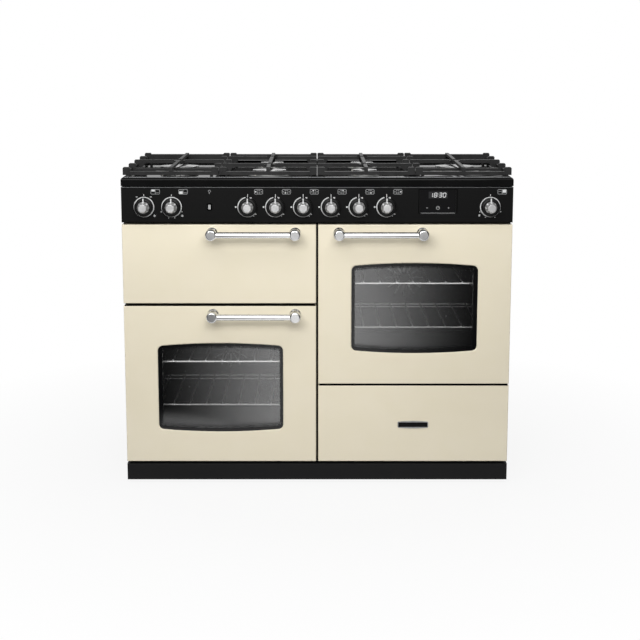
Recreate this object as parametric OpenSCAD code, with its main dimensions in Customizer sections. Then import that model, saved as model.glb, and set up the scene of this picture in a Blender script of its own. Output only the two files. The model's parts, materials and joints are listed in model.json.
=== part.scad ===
// Range cooker with a six burner gas hob, a grill, two side-opening ovens and a storage drawer.
// Millimetres, X to the right, Y to the back, Z up. The origin is on the floor, under the middle
// of the box round the whole cooker. The front faces -Y.

/* [Overall] */
// Width over the hob, control panel and doors
cooker_w = 1100; // [1080:5:1160]
// Depth from the door faces to the rear panel
body_d = 608; // [600:2:640]
// Height of the plinth's lower edge above the floor
floor_gap = 12; // [10:1:20]

/* [Front layout] */
// Height of the plinth
plinth_h = 48; // [44:1:60]
// Gap between the plinth and the doors
plinth_gap = 7; // [5:0.5:10]
// Height from the lowest door edge to the highest, unless a taller oven needs more
doors_h = 692; // [684:2:720]
// Height of the grill door
grill_door_h = 226; // [222:1:232]
// Height of the drawer front
drawer_front_h = 226; // [220:1:230]
// Gap between the grill door and the left oven door
left_gap = 7; // [6.5:0.5:9]
// Gap between the right oven door and the drawer
right_gap = 5; // [4:0.5:8]
// Gap between the left and right columns
column_gap = 6; // [5:0.5:9]
// Gap between the doors and the control panel
panel_gap = 6; // [5:0.5:9]
// Height of the control panel
panel_h = 100; // [96:1:110]
// Gap between the control panel and the hob
hob_gap = 3; // [2:0.5:5]
// Height of the hob tray's edge
hob_h = 24; // [22:1:32]

/* [Carcass] */
// Thickness of the side and rear panels
sheet_t = 1.5; // [1:0.5:3]
// Set-back of the side panels from the door edges
side_inset = 1; // [0.5:0.5:2]
// Thickness of the folded plinth and control panel
fold_t = 3; // [2.5:0.5:4]
// Radius of the plinth's and control panel's front edges
fold_r = 2; // [1:0.5:2.5]
// Depth of the face frame behind the doors
frame_t = 20; // [14:1:26]
// Sheet thickness of the face frame and of the base frame
frame_wall = 3; // [2:0.5:4]
// Width of the base frame's rails
rail_w = 40; // [34:1:46]
// Height of the base frame's lower edge above the plinth's lower edge
base_rise = 10; // [8:1:14]
// Diameter of a levelling foot's pad
foot_d = 40; // [30:1:50]
// Diameter of a levelling foot's screw
foot_screw_d = 10; // [8:1:14]
// Diameter of a rear roller
roller_d = 32; // [28:1:36]
// Diameter of the roller axle
axle_d = 8; // [6:1:10]
// Distance of each roller from the middle
roller_x = 430; // [380:5:450]

/* [Doors] */
// Thickness of the doors and the drawer front
door_t = 30; // [28:1:36]
// Wall of the folded door skin
skin_t = 2.5; // [2:0.5:4]
// Radius of the door skin's front edges
skin_r = 3; // [1.5:0.5:3]
// Width of the skin's folded edge at the back
flange_w = 22; // [20:1:28]
// Thickness of the inner door panel
inner_t = 4; // [3:0.5:8]
// Thickness of the door seal
seal_t = 5.7; // [5:0.1:8]
// Width of the door seal
seal_w = 10; // [8:1:14]
// Thickness of a window glass
glass_t = 4; // [3:0.5:5]
// Width of the window
window_w = 358; // [300:2:370]
// Height of the window between the tops of its arcs
window_h = 261; // [220:1:280]
// Rise of the window's upper and lower arcs
window_rise = 8.5; // [4:0.5:14]
// Corner radius of the window
window_r = 15; // [10:1:22]
// Drop of the window below the door's middle
window_drop = 10; // [0:1:16]

/* [Hinges] */
// Diameter of the hinge pins
pin_d = 6; // [4:0.5:8]
// Width of a hinge lug round its pin
lug_w = 10; // [9:0.5:11]
// Thickness of a hinge lug along its pin
lug_t = 10; // [8:1:14]
// Length of a pin on each side of its lug
pin_reach = 8; // [6:0.5:9]
// Distance of the side hinges' axis from the door's outer edge
hinge_x = 8; // [7.5:0.5:9]
// Distance of the side hinges' axis behind the door face
hinge_y = 22; // [20:0.5:22]
// Distance of the side hinges' lugs from the door's ends
hinge_end = 40; // [30:1:80]
// Distance of the grill door's axis above its lower edge
grill_hinge_z = 7; // [6.5:0.5:8]
// Distance of the grill door's axis behind its face
grill_hinge_y = 10; // [9.5:0.5:11]
// Distance of the grill door's lugs from the door's sides
grill_hinge_end = 30; // [24:1:60]

/* [Handles] */
// Distance between the two posts of a handle
handle_c = 234; // [200:2:260]
// Reach of a handle in front of the door face
handle_reach = 56; // [50:1:64]
// Distance of the bar's centre in front of the door face
bar_y = 45; // [38:1:46]
// Diameter of the handle bar
bar_d = 18; // [14:1:20]
// Diameter of a post's flange at the door
post_flange_d = 33; // [28:1:36]
// Diameter of a post's neck
post_neck_d = 24; // [18:1:26]
// Diameter of a post's cap
post_cap_d = 29; // [27:1:32]
// Distance of the post nearest the door's free edge from that edge
handle_end = 59; // [40:1:80]
// Distance of the handle below the door's upper edge
handle_drop = 24; // [20:1:34]

/* [Ovens and grill] */
// Width of the oven and grill cavities
cavity_w = 440; // [420:2:450]
// Height of an oven cavity
cavity_h = 380; // [376:2:400]
// Depth of an oven cavity
cavity_d = 430; // [420:2:440]
// Height of an oven cavity's floor above the door's lower edge
cavity_rise = 39; // [36:1:42]
// Wall of the liners
liner_t = 1.5; // [1:0.5:3]
// Height of the grill cavity
grill_cavity_h = 172; // [168:1:178]
// Depth of the grill cavity
grill_cavity_d = 400; // [380:5:420]
// Height of the grill cavity's floor above its door's lower edge
grill_cavity_rise = 28; // [26:1:32]
// Height of the lowest shelf above the oven floor
shelf_low = 113; // [100:1:120]
// Height between neighbouring shelf places
shelf_step = 65; // [60:1:68]
// Diameter of a shelf's frame wire
shelf_rod_d = 6; // [5:0.5:7]
// Diameter of a shelf's cross wires and of the ladder wires
wire_d = 5; // [4:0.5:5.5]
// Distance between a shelf's cross wires
shelf_pitch = 47.4; // [44:0.2:50]
// Gap between a shelf and the fan cover
shelf_gap = 39; // [30:1:80]
// Distance of the fan cover in front of the oven's rear wall
cover_gap = 45; // [42:1:60]
// Thickness of the fan cover
cover_t = 2; // [1.5:0.5:3]
// Diameter of the oven fan
fan_d = 140; // [120:2:150]
// Diameter of the fan and motor shaft
shaft_d = 8; // [6:0.5:10]
// Diameter of the ring element
ring_d = 186; // [180:2:210]
// Diameter of the heating tubes
tube_d = 7; // [6:0.5:8]
// Diameter of the fan motor
motor_d = 80; // [70:1:90]
// Length of the fan motor
motor_l = 50; // [40:1:60]

/* [Drawer] */
// Width of the drawer box
drawer_w = 440; // [420:2:446]
// Height of the drawer box
drawer_h = 168; // [150:1:170]
// Depth of the drawer box
drawer_d = 430; // [420:2:450]
// Wall of the drawer box
drawer_wall = 3; // [2:0.5:4]
// Height of the drawer box above the front's lower edge
drawer_rise = 28; // [24:1:34]
// Width of a slide tongue
tongue_w = 16; // [12:1:18]
// Height of a slide tongue
tongue_h = 11; // [8:1:16]

/* [Hob] */
// Radius of the hob tray's upper edges
hob_r = 8; // [5:1:10]
// Width of the hob tray's raised border
border_w = 14; // [12:1:20]
// Depth of the sunk hob deck below the border
deck_drop = 8; // [6:0.5:9]
// Sheet thickness of the hob tray
tray_t = 2.5; // [2:0.5:3]
// Depth of the flue strip behind the pan supports
flue_d = 70; // [60:1:74]
// Height of the pan supports above the hob
support_h = 26; // [24:1:30]
// Set-back of the pan supports from the hob's front edge
support_set = 30; // [28:1:34]
// Depth of the pan supports
support_d = 487; // [480:1:490]
// Width of an outer pan support
outer_support_w = 270; // [260:1:276]
// Width of the pan supports' rails
support_rail = 12; // [10:0.5:14]
// Height of the pan supports' rails
support_rail_h = 10; // [7:0.5:11]
// Height of the pan supports' feet between the hob and the rails
support_foot_h = 4; // [3.5:0.5:6]
// Width of the pan supports' bars
support_bar = 10; // [8:0.5:12]
// Length of the raised blocks on the pan supports' rails
block_l = 20; // [16:1:24]
// Gap between neighbouring pan supports
support_gap = 2; // [1.5:0.5:4]
// Diameter of the two large outer burner caps
large_cap_d = 116; // [104:2:124]
// Diameter of the front left centre burner cap
rapid_cap_d = 98; // [88:1:104]
// Diameter of the other three burner caps
medium_cap_d = 71; // [60:1:80]
// Height of the burner heads
head_h = 9; // [8:0.5:11]
// Thickness of the burner caps
cap_h = 6; // [5:0.5:7]
// Gap between the pan supports' fingers and the middle of a burner
finger_gap = 16; // [14:1:26]

/* [Controls] */
// Height of the knobs' axes above the control panel's lower edge
knob_z = 44; // [42:1:50]
// Diameter of a knob's skirt
skirt_d = 52; // [46:1:56]
// Thickness of a knob's skirt
skirt_t = 12; // [9:0.5:14]
// Gap between the control panel and the knobs
knob_gap = 6; // [5.5:0.5:8]
// Reach of a knob in front of its skirt
grip_l = 22; // [18:1:26]
// Diameter of a knob's grip at the skirt
grip_d = 30; // [26:1:34]
// Diameter of a knob's grip at the front
grip_front_d = 25; // [20:1:25.5]
// Diameter of the tap spindles
spindle_d = 8; // [6:0.5:8.5]
// Travel of a tap spindle when it is pushed in
push_travel = 4; // [3:0.5:4.5]
// Distance of the grill knob and the right oven knob from the control panel's ends
end_knob_edge = 64; // [55:1:70]
// Distance between the grill knob and the left oven knob
end_knob_step = 77.5; // [70:0.5:84]
// Distance between neighbouring hob knobs
hob_knob_step = 78; // [70:0.5:80]
// Distance of the light button from the control panel's left end
button_edge = 248; // [230:1:260]
// Diameter of the light button
button_d = 15; // [12:0.5:18]
// Distance of the clock's centre from the control panel's right end
clock_edge = 211; // [200:1:225]
// Width of the clock's glass
clock_w = 99; // [90:1:104]
// Height of the clock's glass
clock_h = 63; // [56:1:66]
// Height of the clock's centre above the control panel's lower edge
clock_z = 60; // [54:1:62]
// Width across the gas rail
gas_rail_w = 16; // [14:1:18]
// Diameter of the gas inlet's threaded hole
inlet_d = 18.6; // [14:0.2:19]
// Diameter of the cable gland's bore
gland_d = 20; // [16:1:24]

/* [Hidden] */
$fn = 48;

// Clearances and small working values
over = 1;
running = 0.05;
seat = 0.2;
slide_gap = 0.5;
seal_gap = 0.3;
knuckle_gap = 1.5;

// Colours
cream = "#E9E1CC";
enamel_black = "#1A1A1A";
panel_black = "#191919";
cast_black = "#2A2A2A";
steel = "#9A9C9E";
chrome = "#C9CBCE";
aluminium = "#B4B4B0";
dark_glass = "#303438";

// Places from front to back
y_front = -(body_d + handle_reach) / 2;
y_face = y_front + handle_reach;
y_door_back = y_face + door_t;
y_frame = y_door_back + seal_gap + seal_t;
y_liner = y_frame + frame_t;
y_back = y_face + body_d;
y_back_in = y_back - sheet_t;

// Places from the middle outwards
half_w = cooker_w / 2;
carcass_x = half_w - side_inset;
inner_x = carcass_x - sheet_t;
column_w = (cooker_w - column_gap) / 2;
column_x = (column_w + column_gap) / 2;

// Places from the floor upwards
z_plinth = floor_gap;
z_base = floor_gap + base_rise;
z_base_top = floor_gap + plinth_h;
z_doors = z_base_top + plinth_gap;
least_cover = 20;
oven_door_need = cavity_rise + cavity_h + least_cover;
z_doors_top = z_doors
    + max(doors_h, oven_door_need + left_gap + grill_door_h, oven_door_need + right_gap + drawer_front_h);
left_door_h = z_doors_top - z_doors - grill_door_h - left_gap;
right_door_h = z_doors_top - z_doors - drawer_front_h - right_gap;
z_grill_door = z_doors_top - grill_door_h;
z_right_door = z_doors_top - right_door_h;
z_panel = z_doors_top + panel_gap;
z_panel_top = z_panel + panel_h;
z_hob = z_panel_top + hob_gap;
z_hob_top = z_hob + hob_h;
z_deck = z_hob_top - deck_drop;
z_support_top = z_hob_top + support_h;
frame_lap = 12;
z_frame_top = z_panel + frame_lap;

// Cavities, each with its centre and its floor
z_grill_cavity = z_grill_door + grill_cavity_rise;
z_left_cavity = z_doors + cavity_rise;
z_right_cavity = z_right_door + cavity_rise;
y_cavity_back = y_liner + cavity_d;
y_grill_back = y_liner + grill_cavity_d;
z_left_fan = z_left_cavity + cavity_h / 2;
z_right_fan = z_right_cavity + cavity_h / 2;
shelf_set = 6;
shelf_d = cavity_d - cover_gap - shelf_set - shelf_gap;

// Drawer
drawer_x = column_x;
z_drawer = z_doors + drawer_rise;
z_tongue = z_drawer + drawer_h / 2;
drawer_mouth_w = drawer_w + 2 * (tongue_w + slide_gap + 1);
drawer_mouth_gap = 5;

// Knobs
z_knob = z_panel + knob_z;
z_clock = z_panel + clock_z;
y_skirt = y_face - knob_gap;
y_grip = y_skirt - skirt_t;
spindle_seat = 18;
knob_xs = [for (i = [0:5]) (i - 2.5) * hob_knob_step];
end_knob_x = half_w - end_knob_edge;
grill_knob_x = -end_knob_x;
left_knob_x = -end_knob_x + end_knob_step;
button_x = -half_w + button_edge;
clock_x = half_w - clock_edge;
tap_set = 12;
y_tap = y_face + fold_t + tap_set;
tap_l = 53;
y_rail = y_tap + tap_l;
spindle_in = 30;
shaft_in = 24;
oven_shaft_d = 6;
control_w = 44;
control_l = 30;

// Pan supports and burners
y_support = y_face + support_set;
bar_pitch = (support_d - support_rail) / 4;
support_inset = 2;
outer_x0 = half_w - support_inset - outer_support_w;
z_rail = z_hob_top + support_foot_h;
z_rail_top = z_rail + support_rail_h;
low_bar_drop = 2;
function bar_y_at(i) = y_support + support_rail / 2 + i * bar_pitch;
centre_burner_x = (outer_x0 - support_gap + support_gap / 2) / 2;
outer_burner_x = outer_x0 + outer_support_w / 2;
burners = [
    [-outer_burner_x, bar_y_at(2), large_cap_d],
    [-centre_burner_x, bar_y_at(1), rapid_cap_d],
    [-centre_burner_x, bar_y_at(3), medium_cap_d],
    [centre_burner_x, bar_y_at(1), medium_cap_d],
    [centre_burner_x, bar_y_at(3), medium_cap_d],
    [outer_burner_x, bar_y_at(2), large_cap_d]
];
base_flange_t = 2;
base_flange_w = 14;
z_head = z_deck + base_flange_t;
z_cap = z_head + head_h;

// Blocks, rods and repeats
module slab(xs, ys, zs) {
    translate([xs[0], ys[0], zs[0]])
        cube([xs[1] - xs[0], ys[1] - ys[0], zs[1] - zs[0]]);
}

module rod_x(d, x0, x1, y, z) {
    translate([x0, y, z]) rotate([0, 90, 0]) cylinder(d = d, h = x1 - x0);
}

module rod_y(d, y0, y1, x, z) {
    translate([x, y1, z]) rotate([90, 0, 0]) cylinder(d = d, h = y1 - y0);
}

module rod_z(d, z0, z1, x, y) {
    translate([x, y, z0]) cylinder(d = d, h = z1 - z0);
}

module both_sides() {
    children();
    mirror([1, 0, 0]) children();
}

// Flat shape drawn in x and z, as thick as y1 - y0
module upright(y0, y1) {
    translate([0, y1, 0]) rotate([90, 0, 0]) linear_extrude(y1 - y0) children();
}

// Flat shape drawn in y and z, as thick as x1 - x0
module sideways(x0, x1) {
    translate([x0, 0, 0]) rotate([90, 0, 90]) linear_extrude(x1 - x0) children();
}

// Casing

// Channel rail, open below, along x
module channel_x(x0, x1, y0, wall) {
    difference() {
        slab([x0, x1], [y0, y0 + rail_w], [z_base, z_base_top]);
        slab([x0 + wall, x1 - wall], [y0 + wall, y0 + rail_w - wall], [z_base - over, z_base_top - wall]);
    }
}

// Channel rail, open below, along y
module channel_y(x0, y0, y1, wall) {
    difference() {
        slab([x0, x0 + rail_w], [y0, y1], [z_base, z_base_top]);
        slab([x0 + wall, x0 + rail_w - wall], [y0 + wall, y1 - wall], [z_base - over, z_base_top - wall]);
    }
}

foot_inset = 40;
foot_x = inner_x - rail_w - foot_inset;
foot_y = y_frame + rail_w / 2;
foot_boss_wall = 6;
foot_boss_d = foot_screw_d + 2 * foot_boss_wall;
axle_inset = 26;
axle_y = y_back_in - rail_w - axle_inset;
axle_z = roller_d / 2;
roller_w = 22;
cheek_t = 4;
cheek_gap = 1;
cheek_y = 10;
cheek_z = 9;
axle_end = 4;
groove_r = 2;

module base_frame() {
    color(enamel_black) {
        difference() {
            union() {
                channel_x(-inner_x, inner_x, y_frame, frame_wall);
                channel_x(-inner_x, inner_x, y_back_in - rail_w, frame_wall);
                for (x = [-inner_x, -rail_w / 2, inner_x - rail_w])
                    channel_y(x, y_frame + rail_w - frame_wall,
                        y_back_in - rail_w + frame_wall, frame_wall);
                both_sides() rod_z(foot_boss_d, z_base, z_base_top, foot_x, foot_y);
                both_sides() roller_cheeks();
            }
            both_sides() rod_z(foot_screw_d + 2 * running, z_base - over, z_base_top - frame_wall,
                foot_x, foot_y);
            rod_x(axle_d + 2 * running, -roller_x - 2 * roller_w, roller_x + 2 * roller_w, axle_y, axle_z);
        }
    }
}

// Two plates that carry the axle on each side of a roller
module roller_cheeks() {
    for (s = [-1, 1]) {
        x = roller_x + s * (roller_w / 2 + cheek_gap + cheek_t / 2);
        slab([x - cheek_t / 2, x + cheek_t / 2], [axle_y - cheek_y, y_back_in - rail_w + frame_wall],
            [axle_z - cheek_z, z_base_top]);
    }
}

foot_pad_t = 8;

module levelling_feet() {
    color(steel) both_sides() {
        rod_z(foot_d, 0, foot_pad_t, foot_x, foot_y);
        rod_z(foot_screw_d, foot_pad_t / 2, z_base_top - 2 * frame_wall, foot_x, foot_y);
    }
}

module rear_rollers() {
    color(cast_black) {
        reach = roller_x + roller_w / 2 + cheek_gap + cheek_t + axle_end;
        rod_x(axle_d, -reach, reach, axle_y, axle_z);
        both_sides() difference() {
            rod_x(roller_d, roller_x - roller_w / 2, roller_x + roller_w / 2, axle_y, axle_z);
            for (s = [-1, 1])
                translate([roller_x + s * roller_w / 2, axle_y, axle_z])
                    rotate([0, 90, 0]) rotate_extrude()
                        translate([roller_d / 4 + axle_d / 4, 0]) circle(r = groove_r, $fn = 24);
        }
    }
}

module side_panels() {
    color(panel_black) both_sides()
        slab([inner_x, carcass_x], [y_frame, y_back_in], [z_base, z_hob]);
}

motor_vent_w = 120;
vent_step = 14;
vent_h = 4;
oven_vent_n = 7;
grill_vent_n = 4;

module vent_rows(x, z, n) {
    for (i = [0:n - 1])
        slab([x - motor_vent_w / 2, x + motor_vent_w / 2], [y_back_in - over, y_back + over],
            [z + (i - (n - 1) / 2) * vent_step - vent_h / 2, z + (i - (n - 1) / 2) * vent_step + vent_h / 2]);
}

gas_inset = 26;
gas_x = -(inner_x - gas_inset);
z_gas = z_knob;
socket_d = 30;
socket_l = 30;
socket_gap = 3;
gland_inset = 110;
gland_x = inner_x - gland_inset;
gland_rise = 90;
z_gland = z_base_top + gland_rise;
gland_wall = 6;
gland_gap = 1;
gland_boss_d = gland_d + 2 * gland_wall;

module rear_panel() {
    color(steel) difference() {
        slab([-carcass_x, carcass_x], [y_back_in, y_back], [z_base, z_hob]);
        rod_y(socket_d + 2 * socket_gap, y_back_in - over, y_back + over, gas_x, z_gas);
        rod_y(gland_boss_d + 2 * gland_gap, y_back_in - over, y_back + over, gland_x, z_gland);
        vent_rows(-column_x, z_left_fan, oven_vent_n);
        vent_rows(column_x, z_right_fan, oven_vent_n);
        vent_rows(-column_x, z_grill_cavity + grill_cavity_h / 2, grill_vent_n);
    }
}

divider_t = 2;

module centre_divider() {
    color(steel)
        slab([-divider_t / 2, divider_t / 2], [y_liner, y_back_in], [z_base_top, z_doors_top]);
}

// Openings of the face frame: centre, width, lower edge and height
frame_mouths = [
    [-column_x, cavity_w, z_grill_cavity, grill_cavity_h],
    [-column_x, cavity_w, z_left_cavity, cavity_h],
    [column_x, cavity_w, z_right_cavity, cavity_h],
    [drawer_x, drawer_mouth_w, z_drawer - drawer_mouth_gap, drawer_h + 2 * drawer_mouth_gap]
];

// One opening, wider all round by grow
module frame_mouth(m, grow) {
    slab([m[0] - m[1] / 2 - grow, m[0] + m[1] / 2 + grow], [y_frame - over, y_liner + 2 * over],
        [m[2] - grow, m[2] + m[3] + grow]);
}

// Lug and pin of a left-hand side hinge at height z
module side_lug(z) {
    x = -half_w + hinge_x;
    y = y_face + hinge_y;
    slab([x - lug_w / 2, x + lug_w / 2], [y, y_frame], [z - lug_t / 2, z + lug_t / 2]);
    rod_z(lug_w, z - lug_t / 2, z + lug_t / 2, x, y);
    rod_z(pin_d, z - lug_t / 2 - pin_reach, z + lug_t / 2 + pin_reach, x, y);
}

// Lug and pin of the grill door's hinge, centred on x
module grill_lug(x) {
    y = y_face + grill_hinge_y;
    z = z_grill_door + grill_hinge_z;
    slab([x - lug_t / 2, x + lug_t / 2], [y, y_frame], [z - lug_w / 2, z + lug_w / 2]);
    rod_x(lug_w, x - lug_t / 2, x + lug_t / 2, y, z);
    rod_x(pin_d, x - lug_t / 2 - pin_reach, x + lug_t / 2 + pin_reach, y, z);
}

grill_lug_xs = [
    -half_w + grill_hinge_end,
    -column_gap / 2 - grill_hinge_end
];

module front_frame() {
    color(enamel_black) {
        difference() {
            slab([-inner_x, inner_x], [y_frame, y_liner], [z_base_top, z_frame_top]);
            difference() {
                slab([-inner_x + frame_wall, inner_x - frame_wall], [y_frame + frame_wall, y_liner + over],
                    [z_base_top + frame_wall, z_frame_top - frame_wall]);
                for (m = frame_mouths) frame_mouth(m, frame_wall);
            }
            for (m = frame_mouths) frame_mouth(m, 0);
        }
        for (z = [z_doors + hinge_end, z_doors + left_door_h - hinge_end]) side_lug(z);
        mirror([1, 0, 0])
            for (z = [z_right_door + hinge_end, z_doors_top - hinge_end]) side_lug(z);
        for (x = grill_lug_xs) grill_lug(x);
    }
}

// Rectangle whose two upper corners are rounded by r
module rounded_top(a0, a1, z0, z1, r) {
    translate([a0, z0]) square([a1 - a0, z1 - z0 - r]);
    translate([a0 + r, z0]) square([a1 - a0 - 2 * r, z1 - z0]);
    for (a = [a0 + r, a1 - r]) translate([a, z1 - r]) circle(r = r);
}

// Block whose four front edges are rounded by r
module soft_front(xs, ys, zs, r) {
    intersection() {
        translate([0, 0, zs[0]]) linear_extrude(zs[1] - zs[0])
            mirror([0, 1]) rounded_top(xs[0], xs[1], -ys[1], -ys[0], r);
        sideways(xs[0], xs[1]) rotate([0, 0, 90]) rounded_top(zs[0], zs[1], -ys[1], -ys[0], r);
    }
}

// Folded sheet box, open at the back
module folded_front(z0, z1, t) {
    difference() {
        soft_front([-half_w, half_w], [y_face, y_frame], [z0, z1], fold_r);
        slab([-half_w + t, half_w - t], [y_face + t, y_frame + over], [z0 + t, z1 - t]);
    }
}

module plinth() {
    color(panel_black) difference() {
        folded_front(z_plinth, z_base_top, fold_t);
        slab([-half_w + fold_t, half_w - fold_t], [y_face + fold_t, y_frame + over],
            [z_plinth - over, z_plinth + fold_t + over]);
    }
}

// Hob

recess_y0 = y_face + border_w;
recess_y1 = y_back - flue_d;
tray_skirt = 4;
flue_slot_w = 6;
flue_slot_l = 30;
flue_n = 14;
flue_step = 16;
burner_hole_gap = 1;

module hob_tray() {
    color(panel_black) difference() {
        intersection() {
            upright(y_face, y_back) rounded_top(-half_w, half_w, z_hob, z_hob_top, hob_r);
            sideways(-half_w, half_w) rounded_top(y_face, y_back, z_hob, z_hob_top, hob_r);
        }
        slab([-half_w + border_w, half_w - border_w], [recess_y0, recess_y1],
            [z_deck, z_hob_top + over]);
        slab([-half_w + tray_skirt, half_w - tray_skirt], [y_face + tray_skirt, y_back - tray_skirt],
            [z_hob - over, z_deck - tray_t]);
        slab([-half_w + border_w, half_w - border_w], [recess_y1 + tray_skirt, y_back - tray_skirt],
            [z_hob - over, z_hob_top - tray_t]);
        for (b = burners)
            rod_z(burner_cup_d(b) + 2 * burner_hole_gap, z_hob, z_deck + over, b[0], b[1]);
        for (s = [-1, 1], i = [0:flue_n - 1]) {
            x = s * column_x + (i - (flue_n - 1) / 2) * flue_step;
            slab([x - flue_slot_w / 2, x + flue_slot_w / 2],
                [y_back - (flue_d + flue_slot_l) / 2, y_back - (flue_d - flue_slot_l) / 2],
                [z_hob, z_hob_top + over]);
        }
    }
}

cup_inset = 16;
cup_depth = 26;
cup_wall = 3;
jet_d = 10;
function burner_cup_d(b) = b[2] - cup_inset;

module burner_bases() {
    color(aluminium) for (b = burners) difference() {
        union() {
            rod_z(b[2] + 2 * base_flange_w, z_deck, z_head, b[0], b[1]);
            rod_z(burner_cup_d(b), z_deck - cup_depth, z_head, b[0], b[1]);
        }
        rod_z(burner_cup_d(b) - 2 * cup_wall, z_deck - cup_depth + cup_wall, z_head + over, b[0], b[1]);
        rod_z(jet_d, z_deck - cup_depth - over, z_deck, b[0], b[1]);
    }
}

head_wall = 8;
head_inset = 3;
slot_w = 2.5;
slot_h = 4;
slot_step = 5;

// Ring with flame slots; the large burner has a second, smaller ring inside
module flame_ring(b, d) {
    n = round(d / slot_step);
    difference() {
        rod_z(d, z_head, z_cap, b[0], b[1]);
        rod_z(d - 2 * head_wall, z_head - over, z_cap + over, b[0], b[1]);
        for (i = [0:n - 1])
            translate([b[0], b[1], z_cap - slot_h]) rotate([0, 0, i * 360 / n])
                translate([d / 2 - head_wall - over, -slot_w / 2, 0])
                    cube([head_wall + 2 * over, slot_w, slot_h + over]);
    }
}

module burner_heads() {
    color(aluminium) for (b = burners) flame_ring(b, b[2] - 2 * head_inset);
}

cap_edge = 2;
cap_brow = 0.5;

module burner_caps() {
    color(enamel_black) for (b = burners)
        translate([b[0], b[1], z_cap]) rotate_extrude($fn = 64)
            polygon([[0, 0], [b[2] / 2, 0], [b[2] / 2, cap_h - cap_edge],
                [b[2] / 2 - cap_edge, cap_h - cap_brow], [b[2] / 2 - 3 * cap_edge, cap_h], [0, cap_h]]);
}

electrode_d = 5;
electrode_h = 11;
electrode_tip_h = 3;
electrode_turn = 225;

module electrodes() {
    color("white") for (b = burners) {
        r = b[2] / 2 + base_flange_w / 2;
        rod_z(electrode_d, z_head, z_head + electrode_h - electrode_tip_h, b[0] + r * cos(electrode_turn),
            b[1] + r * sin(electrode_turn));
        rod_z(electrode_d / 3, z_head, z_head + electrode_h, b[0] + r * cos(electrode_turn),
            b[1] + r * sin(electrode_turn));
    }
}

finger_h = 8;
foot_peg_d = 9;
back_rail_drop = 4;
block_edge = 2.5;
brow_start = 4;
brow_l = 14;

// Raised block, sloping brow and level finger, from a rail at 0 to the finger's tip
module finger_shape(l) {
    polygon([
        [0, z_rail], [0, z_support_top - block_edge], [block_edge, z_support_top], [l, z_support_top],
        [l, z_support_top - finger_h], [block_l + brow_l, z_support_top - finger_h],
        [block_l + brow_start, z_rail]
    ]);
}

module block_shape() {
    polygon([
        [0, z_rail], [0, z_support_top - block_edge], [block_edge, z_support_top],
        [block_l - block_edge, z_support_top], [block_l, z_support_top - block_edge], [block_l, z_rail]
    ]);
}

// Cast pan support between x0 and x1: raised fingers on the bars listed in over_bars, which cross
// burners, and low bars with raised ends elsewhere
module pan_support(x0, x1, over_bars) {
    xc = (x0 + x1) / 2;
    half = (x1 - x0) / 2;
    y1 = y_support + support_d;
    yc = y_support + support_d / 2;
    for (x = [x0, x1 - support_rail])
        slab([x, x + support_rail], [y_support, y1], [z_rail, z_rail_top]);
    slab([x0, x1], [y_support, y_support + support_rail], [z_rail, z_rail_top]);
    slab([x0, x1], [y1 - support_rail, y1], [z_rail, z_support_top - back_rail_drop]);
    for (x = [x0 + block_l, x1 - block_l], y = [bar_y_at(0), bar_y_at(4)])
        rod_z(foot_peg_d, z_deck, z_rail + over, x, y);
    low_bars = [for (i = [1, 2, 3]) if (len([for (b = over_bars) if (b == i) b]) == 0) i];
    for (m = [0, 1]) translate([xc, 0, 0]) mirror([m, 0, 0]) translate([-half, 0, 0]) {
        for (i = concat([0, 4], low_bars))
            upright(bar_y_at(i) - support_rail / 2, bar_y_at(i) + support_rail / 2) block_shape();
        for (i = over_bars)
            upright(bar_y_at(i) - support_bar / 2, bar_y_at(i) + support_bar / 2)
                finger_shape(half - finger_gap);
    }
    for (i = low_bars)
        slab([x0 + support_rail / 2, x1 - support_rail / 2],
            [bar_y_at(i) - support_bar / 2, bar_y_at(i) + support_bar / 2],
            [z_rail, z_rail_top - low_bar_drop]);
    first = over_bars[0];
    last = over_bars[len(over_bars) - 1];
    for (m = [0, 1]) translate([0, yc, 0]) mirror([0, m, 0])
        translate([0, -support_d / 2, 0]) sideways(xc - support_bar / 2, xc + support_bar / 2)
            finger_shape(bar_y_at(first) - finger_gap - y_support);
    if (last > first) {
        slab([xc - support_bar / 2, xc + support_bar / 2],
            [bar_y_at(first) + finger_gap, bar_y_at(last) - finger_gap],
            [z_support_top - finger_h, z_support_top]);
        for (i = low_bars)
            slab([xc - support_bar / 2, xc + support_bar / 2],
                [bar_y_at(i) - block_l / 2, bar_y_at(i) + block_l / 2], [z_rail, z_support_top - over]);
    }
}

module outer_pan_supports() {
    color(cast_black) both_sides() pan_support(outer_x0, outer_x0 + outer_support_w, [2]);
}

module centre_pan_supports() {
    color(cast_black) both_sides()
        pan_support(support_gap / 2, outer_x0 - support_gap, [1, 3]);
}

// Controls

spindle_hole_d = 14;
shaft_hole_d = 9;
bezel_gap = 1;

module control_panel() {
    color(panel_black) difference() {
        folded_front(z_panel, z_panel_top, fold_t);
        for (x = knob_xs) rod_y(spindle_hole_d, y_face - over, y_face + fold_t + over, x, z_knob);
        for (x = [grill_knob_x, left_knob_x, end_knob_x])
            rod_y(shaft_hole_d, y_face - over, y_face + fold_t + over, x, z_knob);
        rod_y(button_d + 2 * bezel_gap, y_face - over, y_face + fold_t + over, button_x, z_knob);
        slab([clock_x - clock_w / 2, clock_x + clock_w / 2], [y_face - over, y_face + fold_t + over],
            [z_clock - clock_h / 2, z_clock + clock_h / 2]);
    }
}

clock_lap = 4;
clock_box_l = 26;

module clock_module() {
    color(dark_glass) {
        slab([clock_x - clock_w / 2 + seat, clock_x + clock_w / 2 - seat], [y_face, y_face + fold_t + over],
            [z_clock - clock_h / 2 + seat, z_clock + clock_h / 2 - seat]);
        slab([clock_x - clock_w / 2 - clock_lap, clock_x + clock_w / 2 + clock_lap],
            [y_face + fold_t, y_face + fold_t + clock_box_l],
            [z_clock - (clock_h + clock_lap) / 2, z_clock + (clock_h + clock_lap) / 2]);
    }
}

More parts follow.
